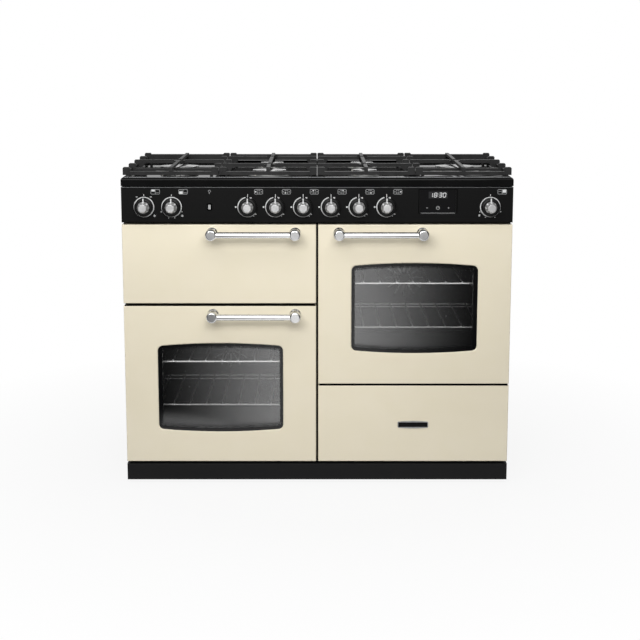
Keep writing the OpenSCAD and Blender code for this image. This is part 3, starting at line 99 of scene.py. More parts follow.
def add(tree, kind, inputs=(), **settings):
    """Add a node. Inputs go in order or by name, and take a value, a socket, or a node, which
    gives its first output."""
    node = tree.nodes.new(kind)
    for key, value in settings.items():
        setattr(node, key, value)
    for key, value in (inputs if isinstance(inputs, dict) else dict(enumerate(inputs))).items():
        if isinstance(value, bpy.types.Node):
            value = value.outputs[0]
        if isinstance(value, bpy.types.NodeSocket):
            tree.links.new(value, node.inputs[key])
        else:
            node.inputs[key].default_value = value
    return node


print("sRGB #808080 in linear light", round(colour("#808080")[0], 3))

# %% [markdown]
# ## Patterns and layers
# No real surface is even. Each finish starts from one colour and one gloss and then gets up to
# three layers of noise: patches of colour, a change of gloss, and a relief that bends the light.
# The noise is made in the piece's own coordinates, so it stays with the piece as a door swings,
# and its lumps are given in millimetres of the real surface.

# %% Patterns and finishes
def grain(tree, size_mm, detail=2.0, stretch=(1, 1, 1)):
    """Noise on Object coordinates whose lumps measure about size_mm."""
    place = add(tree, "ShaderNodeTexCoord").outputs["Object"]
    turned = add(tree, "ShaderNodeMapping", {"Vector": place, "Scale": stretch})
    return add(tree, "ShaderNodeTexNoise", {"Vector": turned, "Scale": 1 / (size_mm * MM),
                                            "Detail": detail})


def cells(tree, size_mm):
    """Patches on Object coordinates, each about size_mm across."""
    place = add(tree, "ShaderNodeTexCoord").outputs["Object"]
    return add(tree, "ShaderNodeTexVoronoi", {"Vector": place, "Scale": 1 / (size_mm * MM)}).outputs


def between(tree, factor, low_code, high_code, low=0.35, high=0.65):
    """Colour that runs from one code to another as the factor goes from low to high."""
    ramp = add(tree, "ShaderNodeValToRGB", (factor,))
    for stop, at, code in zip(ramp.color_ramp.elements, (low, high), (low_code, high_code)):
        stop.position, stop.color = at, colour(code)
    return ramp


def feed(material, **sources):
    """Link nodes to the material's Principled shader. A socket goes by name, with _ for a space."""
    tree = material.node_tree
    for key, node in sources.items():
        tree.links.new(node.outputs[0], tree.nodes["Principled BSDF"].inputs[key.replace("_", " ")])


def finish(name, code, rough, metal=0.0, patches=None, shine=None, relief=None, stretch=(1, 1, 1),
           **sockets):
    """Material that varies on noise of real sizes. Each layer starts with a size in mm and a
    detail. Then patches give two colours, shine two roughnesses, relief a depth in mm and a
    strength."""
    material = bpy.data.materials.new(name)
    material.use_nodes = True
    tree = material.node_tree
    fixed = {"Base_Color": colour(code), "Roughness": rough, "Metallic": metal, **sockets}
    for key, value in fixed.items():
        tree.nodes["Principled BSDF"].inputs[key.replace("_", " ")].default_value = value
    if patches:
        feed(material, Base_Color=between(tree, grain(tree, *patches[:2], stretch), *patches[2:]))
    if shine:
        noise = grain(tree, *shine[:2], stretch)
        feed(material, Roughness=add(tree, "ShaderNodeMapRange", (noise, 0, 1, *shine[2:])))
    if relief:
        size, detail, depth, strength = relief
        feed(material, Normal=add(tree, "ShaderNodeBump", {
            "Height": grain(tree, size, detail, stretch), "Distance": depth * MM, "Strength": strength}))
    return material


print("materials so far", [m.name for m in bpy.data.materials])

# %% [markdown]
# ## Enamels and paints
# Vitreous enamel is glass fused to steel. It flows as it melts, so its surface has a faint orange
# peel a few millimetres across, and it shines under a clear skin. The doors are cream, the hob is
# a glossy black, and the oven walls have pale flecks that hide splashes. The control panel, plinth
# and sides are powder coated: satin, with a grain finer than a millimetre, drawn a little coarser
# here so that it shows.

# %% Enamels and paints
def vitreous(name, low_code, high_code, rough, peel_mm=5.0, peel=0.35, **sockets):
    return finish(name, high_code, rough, patches=(70, 1.0, low_code, high_code),
                  relief=(peel_mm, 1.0, 0.05, peel), Coat_Roughness=0.08, **sockets)


def powder_coat(name, code, rough, gloss):
    return finish(name, code, rough, shine=(1.4, 2.0, rough - 0.06, rough + 0.06),
                  relief=(1.4, 2.0, 0.03, 0.3), Specular_IOR_Level=gloss)


cream_enamel = vitreous("cream_vitreous_enamel", "#EAE1C9", "#EBE2CB", 0.3, 5.0, 0.12, Coat_Weight=0.25)
hob_enamel = vitreous("black_hob_enamel", "#060606", "#0A0A0A", 0.05, 9.0, 0.02, Specular_IOR_Level=0.1)
cap_enamel = vitreous("black_cap_enamel", "#202020", "#262626", 0.22, 4.0, 0.0, Coat_Weight=1.0,
                      Coat_IOR=1.6)
lining_enamel = vitreous("dark_lining_enamel", "#141517", "#191A1C", 0.25, Coat_Weight=0.2)
flecked_enamel = finish("flecked_oven_enamel", "#1A1B1D", 0.4, relief=(4, 1.0, 0.05, 0.3),
                        Specular_IOR_Level=0.3)
# The flecks are the cores of the cells, about a millimetre across.
fleck_tree = flecked_enamel.node_tree
flecks = between(fleck_tree, cells(fleck_tree, 6)["Distance"], "#B9BCC0", "#1A1B1D", 0.10, 0.17)
feed(flecked_enamel, Base_Color=flecks)
panel_coat = powder_coat("satin_black_powder_coat", "#0C0C0C", 0.45, 0.1)
case_coat = powder_coat("black_case_coat", "#0F0F10", 0.5, 0.15)
print("enamels and paints", 7)

# %% [markdown]
# ## Metals
# Cast iron keeps the grain of its sand mould under a thin matt enamel. The burners are die-cast
# aluminium, blasted to an even grey. The handles are bright chrome, the oven wires chrome dulled
# by heat, and the knob grips a satin plating on plastic, only part metal to the eye. The rear
# panel is zinc-coated sheet, whose crystals show as a spangle of flat patches. Stainless steel and
# the darker steel of two painted highlight lines are brushed, so their noise is stretched along
# the stroke. The oven elements are nickel alloy tubes, browned and blued in patches by their own heat.

# %% Metals
def plated(name, low_code, high_code, rough_low, rough_high, smear_mm, metal=1.0):
    """Plating whose shine changes a little where it has been wiped."""
    return finish(name, high_code, rough_low, metal, patches=(smear_mm, 3.0, low_code, high_code),
                  shine=(smear_mm, 3.0, rough_low, rough_high))


def brushed_steel(name, code):
    return finish(name, code, 0.3, 1.0, shine=(1.0, 3.0, 0.24, 0.4), relief=(1.0, 3.0, 0.02, 0.4),
                  stretch=(0.02, 1, 1))


iron = finish("enamelled_cast_iron", "#1E1E1E", 0.55, patches=(30, 2.0, "#1A1A1A", "#242424"),
              shine=(2.2, 3.0, 0.48, 0.64), relief=(2.2, 3.0, 0.25, 0.5), Specular_IOR_Level=0.25)
alloy = finish("blasted_aluminium", "#A8A8A7", 0.45, 1.0, patches=(18, 2.0, "#9B9B9A", "#B1B1B0"),
               relief=(1.2, 2.0, 0.06, 0.5))
chrome = plated("bright_chrome", "#D5D5D5", "#E0E0E0", 0.05, 0.1, 25)
wire_chrome = plated("heat_dulled_chrome_wire", "#DEDEDD", "#E8E8E7", 0.34, 0.44, 30)
satin_chrome = plated("satin_chrome_grip", "#BDBDBD", "#CACACA", 0.36, 0.46, 12, metal=0.6)
zinc = finish("spangled_zinc_sheet", "#9A9D9F", 0.42, 1.0)
spangle = add(zinc.node_tree, "ShaderNodeRGBToBW", (cells(zinc.node_tree, 9)["Color"],))
feed(zinc, Base_Color=between(zinc.node_tree, spangle, "#8F9294", "#9EA1A2", 0.2, 0.8),
     Roughness=add(zinc.node_tree, "ShaderNodeMapRange", (spangle, 0, 1, 0.38, 0.46)))
stainless = brushed_steel("brushed_stainless", "#A7A9AA")
# Painted highlight: the grey of two thin rods that stand in for the line of light on the rounded edges of the
# hob tray and the control panel.
highlight_steel = brushed_steel("blued_steel_edge", "#707172")
brass = plated("machined_brass", "#B0924F", "#BE9F5B", 0.22, 0.34, 15)
sheath = finish("heated_alloy_sheath", "#54504A", 0.42, 1.0, patches=(22, 2.0, "#464853", "#6B5F50"))
print("metals", 10)

# %% [markdown]
# ## Glass, plastics and print
# The oven windows are tinted glass: mostly a dark pane, through which the shelves show faintly.
# It is made from opacity and gloss, not from bent light, because a flat pane hardly bends what is
# behind it and clear opacity lets the studio light into the oven. Oven glass is coated to throw
# heat back, so it mirrors more than plain glass: a clear coat and a higher index give it that, and
# a little dust keeps its gloss from being perfectly even. Knob skirts are moulded plastic, the
# seals silicone rubber, the dial print a pale ink, and the clock's digits glow behind a fine mesh.

# %% Glass, plastics and print
def moulded(name, code, rough, texture_mm, depth_mm, **sockets):
    """Plastic or rubber with the fine texture of its mould."""
    return finish(name, code, rough, shine=(texture_mm, 2.0, rough - 0.05, rough + 0.05),
                  relief=(texture_mm, 2.0, depth_mm, 0.4), **sockets)


glass = finish("tinted_oven_glass", "#070808", 0.05, shine=(90, 2.0, 0.03, 0.09), Alpha=0.2, IOR=2.8,
               Coat_Weight=1.0, Coat_IOR=3.0, Coat_Roughness=0.03)
knob_black = moulded("moulded_knob_plastic", "#0A0A0A", 0.36, 0.9, 0.03, Specular_IOR_Level=0.2)
seal_rubber = moulded("silicone_rubber", "#202021", 0.62, 1.5, 0.05)
nylon = moulded("moulded_nylon", "#1C1C1C", 0.5, 1.2, 0.04)
clock_black = moulded("clock_window_acrylic", "#0C0C0D", 0.12, 8.0, 0.01, Specular_IOR_Level=0.12)
display_black = moulded("display_window", "#2C2C2D", 0.2, 8.0, 0.01, Specular_IOR_Level=0.12)
ceramic = moulded("glazed_ceramic", "#E9E6DC", 0.18, 3.0, 0.03)
# Painted shade: a matt black drawn where gaps and slots lie in shade, round the clock, round the lamp button
# and between the fronts.
shade_black = moulded("painted_shadow_black", "#020202", 0.9, 0.9, 0.01, Specular_IOR_Level=0.0)
glass_print = moulded("black_glass_print", "#0A0A0B", 0.1, 8.0, 0.01)
dial_ink = moulded("pale_dial_ink", "#D3D4D4", 0.55, 0.9, 0.01)
grey_ink = moulded("grey_dial_ink", "#989999", 0.55, 0.9, 0.01)
grey_tab = moulded("grey_button_plastic", "#A4A5A5", 0.4, 0.9, 0.02)
lamp_glass = moulded("frosted_lamp_glass", "#DAD7C8", 0.25, 2.0, 0.03)
digit_light = finish("lit_display_digit", "#D2D3D3", 0.4, Emission_Strength=0.5)
digit_mesh = grain(digit_light.node_tree, 0.8, 0.0)
feed(digit_light, Emission_Color=between(digit_light.node_tree, digit_mesh, "#D2D3D3", "#F0F1F1"))
print("glass, plastics and print", 14)

# %% [markdown]
# ## Dressing the frame's own parts
# A part whose shape is already right only needs its finish. The finish goes on the part's own
# material slots, because the frame's meshes are never changed.

# %% Finishes for the frame's parts
hob_knobs = [f"hob_knob_{i}" for i in range(1, 7)]
oven_knobs = ["grill_knob", "left_oven_knob", "right_oven_knob"]
spindles = " ".join(f"tap_spindle_{i}" for i in range(1, 7))
for material, names in (
        (case_coat, "base_frame side_panels front_frame plinth"),
        (panel_coat, "control_panel"),
        (zinc, "rear_panel centre_divider terminal_box levelling_feet"),
        (hob_enamel, "hob_tray"),
        (alloy, "burner_bases burner_heads"),
        (cap_enamel, "burner_caps"),
        (ceramic, "electrodes"),
        (iron, "outer_pan_supports centre_pan_supports"),
        (clock_black, "clock_module"),
        (brass, "gas_rail gas_pipe"),
        (knob_black, "oven_controls light_button " + " ".join(hob_knobs + oven_knobs)),
        (flecked_enamel, "grill_liner oven_liners fan_covers"),
        (stainless, "grill_pan drawer_runners drawer_box fan_motors left_fan right_fan " + spindles),
        (chrome, "grill_handle left_handle right_handle"),
        (wire_chrome, "shelf_rails oven_shelves"),
        (sheath, "heating_elements"),
        (lamp_glass, "oven_lamps"),
        (seal_rubber, "door_seals"),
        (nylon, "rear_rollers"),
        (glass, "left_window_glass right_window_glass"),
        (cream_enamel, "grill_door left_oven_door right_oven_door drawer_front")):
    for name in names.split():
        node = frame["nodes"][name]
        if not node.material_slots:
            node.data.materials.append(material)
        for place in node.material_slots:
            place.material = material
print("parts without a finish:", [n for n, o in frame["nodes"].items() if not o.material_slots])

# %% [markdown]
# ## Mesh helpers
# Most added pieces are plates cut from an outline, bands between two outlines, or turned shapes.
# Each helper returns points and faces, several can be joined, and one function makes the object,
# points its faces outwards, and lets it ride on its body.

# %% Outlines
def arc(cx, cz, r, start, end, steps):
    """Points on a circle from one angle to another, in degrees counter-clockwise from the right."""
    angles = [math.radians(start + (end - start) * i / steps) for i in range(steps + 1)]
    return [(cx + r * math.cos(a), cz + r * math.sin(a)) for a in angles]


def rect(cx, cz, w, h):
    """Rectangle, counter-clockwise."""
    return [(cx + a * w / 2, cz + b * h / 2) for a, b in ((-1, -1), (1, -1), (1, 1), (-1, 1))]


def round_rect(cx, cz, w, h, r, steps=6):
    """Rectangle with round corners, counter-clockwise."""
    line = []
    for k, (sx, sz) in enumerate(((1, 1), (-1, 1), (-1, -1), (1, -1))):
        line += arc(cx + sx * (w / 2 - r), cz + sz * (h / 2 - r), r, 90 * k, 90 * k + 90, steps)
    return line


def middle(node_name):
    """Middle of a node's box in x and z."""
    low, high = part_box(node_name)
    return (low.x + high.x) / 2, (low.z + high.z) / 2


print("clock at", [round(v, 4) for v in middle("clock_module")])

# %% [markdown]
# An outline becomes a solid in one of five ways. It can be given a thickness, be paired with a
# second outline to leave a frame, or be turned round an axis as on a lathe. A turned bar can lie
# along x, and a small section can be carried round a path, as a moulding is round a picture.

# %% Shapes
def plate(outline, y0, y1):
    """Closed plate of an outline in x and z, from y0 to y1."""
    n = len(outline)
    points = [(x, y, z) for y in (y0, y1) for x, z in outline]
    faces = [tuple(range(n)), tuple(range(2 * n - 1, n - 1, -1))]
    faces += [(i, (i + 1) % n, n + (i + 1) % n, n + i) for i in range(n)]
    return points, faces


def band(inner, outer, y0, y1, closed=True):
    """Flat strip between two outlines with as many points each, from y0 to y1."""
    n = len(inner)
    points = [(x, y, z) for y in (y0, y1) for line in (inner, outer) for x, z in line]
    faces = []
    for i in range(n if closed else n - 1):
        j = (i + 1) % n
        for a, b in ((0, 1), (1, 3), (3, 2), (2, 0)):
            faces.append((a * n + i, a * n + j, b * n + j, b * n + i))
    if not closed:
        faces += [tuple(k * n + i for k in (0, 1, 3, 2)) for i in (0, n - 1)]
    return points, faces


def turned(profile, centre, steps=48, wave=None, upright=False):
    """Profile of (radius, y) pairs turned round an axis along y at centre (x, z). An upright one
    has (radius, z) pairs and its centre in (x, y)."""
    points, faces = [], []
    for k, (r, along) in enumerate(profile):
        for i in range(steps):
            a = 2 * math.pi * i / steps
            s = r * (wave(a, along) if wave else 1)
            u, v = centre[0] + s * math.cos(a), centre[1] + s * math.sin(a)
            points.append((u, v, along) if upright else (u, along, v))
            if k:
                j = (i + 1) % steps
                faces.append(((k - 1) * steps + i, (k - 1) * steps + j, k * steps + j, k * steps + i))
    faces.append(tuple(range(steps)))
    faces.append(tuple(range(len(points) - 1, len(points) - 1 - steps, -1)))
    return points, faces


def rod(x0, x1, y, z, r, steps):
    """Round bar along x."""
    points, faces = turned([(r, x0), (r, x1)], (y, z), steps)
    return [(along, y, z) for y, along, z in points], faces


def moulding(path, section):
    """Closed section of (outward, y) points carried round a counter-clockwise path in x and z."""
    n, m = len(path), len(section)
    points, faces = [], []
    for i, (x, z) in enumerate(path):
        (ax, az), (bx, bz) = path[i - 1], path[(i + 1) % n]
        length = math.hypot(bx - ax, bz - az)
        points += [(x + (bz - az) / length * out, y, z - (bx - ax) / length * out) for out, y in section]
        here, there = i * m, (i + 1) % n * m
        faces += [(here + k, here + (k + 1) % m, there + (k + 1) % m, there + k) for k in range(m)]
    return points, faces


def joined(*shapes):
    points, faces = [], []
    for p, f in shapes:
        faces += [tuple(i + len(points) for i in face) for face in f]
        points += p
    return points, faces


print("corners of a test bar", len(rod(0, 1, 0, 0, 0.01, 12)[0]))

# %% [markdown]
# Points and faces are only numbers until they are a mesh in an object. Where two parts of a shape
# meet, their doubles are merged, and the normals are worked out again, so that every face looks
# outwards. Each piece then rides on the body that it moves with.

# %% Objects
def mesh_of(name, shape):
    mesh = bpy.data.meshes.new(name)
    mesh.from_pydata(shape[0], [], shape[1])
    return mesh


def clean_normals(mesh):
    """Merge a mesh's doubles and point its faces outwards."""
    shape = bmesh.new()
    shape.from_mesh(mesh)
    bmesh.ops.remove_doubles(shape, verts=shape.verts, dist=1e-6)
    bmesh.ops.recalc_face_normals(shape, faces=shape.faces)
    shape.to_mesh(mesh)
    shape.free()


def place(name, mesh, body, slot, smooth_angle=None, bevel=None):
    """Clean a mesh, put it in the scene and let it ride on a body; bevel is a width in metres."""
    clean_normals(mesh)
    if smooth_angle is not None:
        mesh.shade_smooth()
        mesh.set_sharp_from_angle(angle=math.radians(smooth_angle))
    piece = linked(name, mesh)
    if bevel:
        soften = piece.modifiers.new("soft_edges", "BEVEL")
        soften.width, soften.segments, soften.harden_normals = bevel, 2, True
        soften.limit_method, soften.angle_limit = "ANGLE", math.radians(40)
    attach(piece, body)
    return piece


def make(name, shape, material, body, slot, smooth_angle=None, bevel=None):
    """Piece from points and faces."""
    mesh = mesh_of(name, shape)
    mesh.materials.append(material)
    return place(name, mesh, body, slot, smooth_angle, bevel)


# %% [markdown]
# ## Cast and folded edges
# A casting or an enamelled sheet has no knife edges: its corners round over by a millimetre or so
# and catch a thin line of light. The frame's part is copied, its loose triangles are merged back
# into flat faces, and a bevel rounds every sharp edge. The copy then stands in for the part. Two
# thin grey steel rods, on the front edge of the hob tray and on top of the control panel, are
# painted highlights: they stand in for the line of light that these rounded edges catch.

# %% Soft edges on castings and sheets
def merged_copy(node_name):
    """The frame's mesh with its doubles merged and its flat faces made whole."""
    mesh = frame["nodes"][node_name].data.copy()
    shape = bmesh.new()
    shape.from_mesh(mesh)
    bmesh.ops.remove_doubles(shape, verts=shape.verts, dist=2e-6)
    bmesh.ops.dissolve_limit(shape, angle_limit=math.radians(1), verts=shape.verts, edges=shape.edges)
    shape.to_mesh(mesh)
    shape.free()
    return mesh


def soft_edged(node_name, material, body, slot, width_mm):
    mesh = merged_copy(node_name)
    mesh.materials.clear()
    mesh.materials.append(material)
    piece = place(node_name + "_finished", mesh, body, slot, 30, width_mm * MM)
    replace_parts(piece, node_name)
    print(node_name, "faces", len(mesh.polygons))


soft_edged("outer_pan_supports", iron, "casing", "cast_iron", 1.2)
soft_edged("centre_pan_supports", iron, "casing", "cast_iron", 1.2)
soft_edged("hob_tray", hob_enamel, "casing", "black_enamel", 1.0)
# A painted highlight line is its distance behind the face and above the part, its radius, and its end margin.
HIGHLIGHT_LINES = (("hob_tray", 0.0060, 0.0, 0.0013, 0.0110), ("control_panel", 0.0003, -0.0006, 0.0006, 0.0012))
for node_name, behind, above, r, end in HIGHLIGHT_LINES:
    low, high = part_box(node_name)
    make(node_name + "_edge_wire", rod(low.x + end, high.x - end, low.y + behind, high.z + above, r, 12),
         highlight_steel, "casing", "sheet_steel", 50)

# %% [markdown]
# ## Doors
# A door is an enamelled skin folded from one sheet, a dark inner panel behind it, and two panes of
# glass in an arched window. The window comes first, as one outline that can be grown or shrunk:
# the printed border and the bead of the inner panel both follow it. The rim of the window is
# flared at the front, so that it slopes in towards the glass as a pressed edge does.

# %% Windows
WINDOW_W, WINDOW_H, WINDOW_RISE, WINDOW_R = 0.358, 0.261, 0.0085, 0.015
FLARE = 0.0024


def window_outline(cx, cz, grow):
    """Arched window grown by a margin, counter-clockwise from the right-hand side."""
    big = ((WINDOW_W / 2) ** 2 + WINDOW_RISE ** 2) / (2 * WINDOW_RISE)
    base = WINDOW_H / 2 - big
    side = WINDOW_W / 2 - WINDOW_R
    turn = math.degrees(math.acos(side / (big - WINDOW_R)))
    rise = base + (big - WINDOW_R) * math.sin(math.radians(turn))
    line = arc(side, rise, WINDOW_R + grow, 0, turn, 8) + arc(0, base, big + grow, turn, 90, 12)[1:]
    line += [(-x, z) for x, z in line[-2::-1]]
    return [(cx + x, cz + z) for x, z in line + [(x, -z) for x, z in line[-1::-1]]]


def print_edge(cx, cz, side, top, bottom):
    """Inner edge of the print: margins at the sides, at the top and at the bottom."""
    keep = (WINDOW_H - top - bottom) / (WINDOW_H - 2 * side)
    return [(cx + x, cz + (bottom - top) / 2 + z * keep) for x, z in window_outline(0, 0, -side)]


def flare(skin, window, front):
    """Widen the front rim of the window, so that its edge slopes in towards the glass."""
    cx, cz = window
    moved = 0
    for point in skin.vertices:
        x, z = point.co.x - cx, point.co.z - cz
        near = abs(x) < WINDOW_W / 2 + 0.002 and abs(z) < WINDOW_H / 2 + 0.002
        if near and abs(point.co.y - front) < 1e-4:
            point.co.x, point.co.z = cx + x * (1 + 2 * FLARE / WINDOW_W), cz + z * (1 + 2 * FLARE / WINDOW_H)
            moved += 1
    print("window rim points", moved)


window_places = {side: middle(side + "_window_glass") for side in ("left", "right")}
print("windows at", {k: (round(x, 4), round(z, 4)) for k, (x, z) in window_places.items()})

# %% [markdown]
# The frame holds skin and inner panel as two shells of one part. They are told apart by walking
# from point to point along the edges, and finished one by one: cream outside, dark enamel inside.
# The outer pane has a black printed border, and a bead pressed into the inner panel stiffens it.
# The border is widest at the bottom: there it is partly print and partly painted shade of the
# window's deep recess.

# %% Doors
PANE_BACK = 0.0025    # from the door's face to the outer pane
INK = 0.00015         # print, drawn just thick enough to stand clear of what it is on
# The bead's section: how far outwards from the path and how far off the panel, in mm.
BEAD = ((-4.5, -0.4), (-3, 0.9), (-1.2, 1.6), (1.2, 1.6), (3, 0.9), (4.5, -0.4))


def shells(mesh):
    """Separate closed shells of a mesh, the front one first."""
    whole = bmesh.new()
    whole.from_mesh(mesh)
    whole.verts.ensure_lookup_table()
    left, found = set(range(len(whole.verts))), []
    while left:
        group = [left.pop()]
        for index in group:
            for edge in whole.verts[index].link_edges:
                other = edge.other_vert(whole.verts[index]).index
                if other in left:
                    left.discard(other)
                    group.append(other)
        found.append(set(group))
    found.sort(key=lambda group: min(whole.verts[i].co.y for i in group))
    out = []
    for group in found:
        part = whole.copy()
        bmesh.ops.delete(part, geom=[v for v in part.verts if v.index not in group], context="VERTS")
        shell = bpy.data.meshes.new(mesh.name + f"_shell_{len(out)}")
        part.to_mesh(shell)
        part.free()
        out.append(shell)
    whole.free()
    return out


def finished_door(node_name, window=None):
    low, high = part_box(node_name)
    skin, lining = shells(merged_copy(node_name))
    if window:
        flare(skin, window, low.y)
    for mesh, part, material, slot, width in ((skin, "skin", cream_enamel, "cream_enamel", 1.1),
                                              (lining, "lining", lining_enamel, "black_enamel", 0.8)):
        mesh.materials.append(material)
        piece = place(f"{node_name}_{part}", mesh, node_name, slot, 30, width * MM)
        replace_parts(piece, node_name)
    if window:
        path = window_outline(*window, 0.016)
        front = low.y + PANE_BACK
        # Partly painted shade: the print's margins grow from the sides to the top to the bottom, where the
        # shade of the window's recess is widest.
        border = band(print_edge(*window, 0.0068, 0.0085, 0.0105), window_outline(*window, -0.0003),
                      front - INK, front)
        make(node_name + "_window_print", border, glass_print, node_name, "dark_glass")
    else:
        path = round_rect(*middle(node_name), high.x - low.x - 0.16, high.z - low.z - 0.12, 0.02)
    bead = [(out * MM, high.y + rise * MM) for out, rise in BEAD]
    make(node_name + "_bead", moulding(path, bead), lining_enamel, node_name, "black_enamel", 60)


for side, window in window_places.items():
    finished_door(side + "_oven_door", window)
finished_door("grill_door")
soft_edged("drawer_front", cream_enamel, "drawer", "cream_enamel", 0.9)

# %% [markdown]
# ## Door seals
# A silicone bulb runs round each cavity on the face frame, and the closed door presses it a little
# flat. It is a round section carried round a rectangle with soft corners, on a thin foot that clips
# into the frame.

# %% Door seals
SEAL_W, SEAL_R, FOOT_W, FOOT_H = 0.010, 0.012, 0.009, 0.0012
seal_low, seal_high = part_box("door_seals")
bulb_r = (seal_high.y - seal_low.y) / 2
bulb = arc(0, (seal_high.y + seal_low.y) / 2, bulb_r, 0, 330, 11)
foot = rect(0, seal_high.y - FOOT_H / 2, FOOT_W, FOOT_H)
rings = []
for shell in shells(merged_copy("door_seals")):
    xs, zs = [v.co.x for v in shell.vertices], [v.co.z for v in shell.vertices]
    path = round_rect((min(xs) + max(xs)) / 2, (min(zs) + max(zs)) / 2,
                      max(xs) - min(xs) - SEAL_W, max(zs) - min(zs) - SEAL_W, SEAL_R)
    rings += [moulding(path, bulb), moulding(path, foot)]
piece = make("door_seal_bulbs", joined(*rings), seal_rubber, "casing", "seal_rubber", 50)
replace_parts(piece, "door_seals")
print("seal rings", len(rings) // 2, "bulb radius", round(bulb_r, 5))

# %% [markdown]
# ## Burners
# Each burner is an alloy cup and a slotted ring, which the frame already has, under a loose
# enamelled cap. The cap is a lathe shape: a slightly crowned disc with a soft rim. Beside it
# stands a spark electrode, a glazed ceramic collar round a thin steel wire.

# %% Burner caps and electrodes
def round_shells(node_name):
    """Centre, radius, foot and top of each upright round piece of a node."""
    for shell in shells(merged_copy(node_name)):
        xs, ys, zs = ([v.co[k] for v in shell.vertices] for k in range(3))
        centre = ((min(xs) + max(xs)) / 2, (min(ys) + max(ys)) / 2)
        yield centre, (max(xs) - min(xs)) / 2, min(zs), max(zs)


caps, collars, wires = [], [], []
for centre, r, z0, z1 in round_shells("burner_caps"):
    crown = [(0.002, z0), (r - 0.0015, z0), (r - 0.0004, z0 + 0.0005), (r, z0 + 0.0015), (r, z1 - 0.0030),
             (r - 0.0004, z1 - 0.0019), (r - 0.0014, z1 - 0.0011), (r - 0.0030, z1 - 0.0007),
             (r * 0.6, z1 - 0.0002), (r * 0.25, z1), (0.002, z1)]
    caps.append(turned(crown, centre, 72, upright=True))
for centre, r, z0, z1 in round_shells("electrodes"):
    collar = [(0.0003, z0), (r, z0), (r, z0 + 0.004), (r * 0.72, z0 + 0.0048), (r * 0.6, z1 - 0.0034),
              (r * 0.45, z1 - 0.003), (0.0003, z1 - 0.003)]
    wire = [(0.0003, z1 - 0.0035), (0.0008, z1 - 0.0035), (0.0008, z1 - 0.0004), (0.0003, z1)]
    collars.append(turned(collar, centre, 24, upright=True))
    wires.append(turned(wire, centre, 12, upright=True))
for name, shapes, material, slot, node_name in (
        ("burner_caps_turned", caps, cap_enamel, "black_enamel", "burner_caps"),
        ("electrode_collars", collars, ceramic, "ceramic", "electrodes"),
        ("electrode_wires", wires, stainless, "sheet_steel", "electrodes")):
    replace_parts(make(name, joined(*shapes), material, "casing", slot, 40), node_name)
print("burner caps", len(caps), "electrodes", len(wires))

# %% [markdown]
# ## Knobs
# Each knob has a black moulded skirt with a pale pointer and a plated grip that narrows towards
# its flat end and is fluted for the fingers. Both are turned shapes. The flutes come from a wave
# on the grip's radius that starts at the collar and grows shallower towards the front.

# %% Knobs
FLUTES, FLUTE_DEPTH = 8, 0.24
GRIP_STEPS, TAPER_STEPS = 96, 12
SKIRT_BACK, SKIRT_H = -0.282, 0.012
GRIP_R, GRIP_TAPER = 0.0164, 0.0042


def knob(name):
    """Skirt, grip and pointer of a knob, whose node and body have the same name."""
    centre = middle(name)
    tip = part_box(name)[0].y
    back, top = SKIRT_BACK, SKIRT_BACK - SKIRT_H
    skirt = [(0.004, back), (0.0250, back), (0.0258, back - 0.001), (0.0258, back - 0.008),
             (0.0252, back - 0.0095), (0.0236, back - 0.0108), (0.0205, top + 0.0004),
             (0.0175, top + 0.0012), (0.0165, top + 0.0016), (0.004, top + 0.0016)]

    def wave(angle, y):
        start = min(1, max(0, (top + 0.0005 - y) / 0.002))
        share = min(1, max(0, (top - y) / (top - tip)))
        return 1 - FLUTE_DEPTH * start * (1 - 0.6 * share) * max(0, math.cos(FLUTES * angle)) ** 1.2

    grip = [(0.004, top + 0.003), (GRIP_R, top + 0.003), (0.0166, top + 0.001), (GRIP_R, top)]
    for k in range(1, TAPER_STEPS + 1):
        share = k / TAPER_STEPS
        grip.append((GRIP_R - GRIP_TAPER * share ** 0.7, top + (tip + 0.0022 - top) * share))
    # The last rings lie in the flat end, so that it shades as a flat face and not as a ball.
    grip += [(0.0119, tip + 0.0013), (0.0114, tip + 0.0006), (0.0107, tip + 0.0001), (0.0102, tip),
             (0.0098, tip), (0.003, tip)]
    base = make(name + "_skirt", turned(skirt, centre, 64), knob_black, name, "knob_plastic", 30)
    cap = make(name + "_grip", turned(grip, centre, GRIP_STEPS, wave), satin_chrome, name,
               "knob_plastic", 25)
    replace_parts(base, name)
    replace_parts(cap, name)
    line = rect(centre[0], centre[1] + 0.01985, 0.0034, 0.0117)
    make(name + "_pointer", plate(line, top - 0.0006, back - 0.004), dial_ink, name, "knob_plastic",
         bevel=0.0003)


for name in hob_knobs + oven_knobs:
    knob(name)
print("knobs", len(hob_knobs + oven_knobs))

# %% [markdown]
# ## Handles
# A handle is a chrome bar between two posts. A post is one lathe shape: a flange against the door,
# a waisted neck, and a cap with a soft rim round its flat end. The rim is what catches the dark
# side of the studio as a ring. The bar is turned too, along x instead of y.

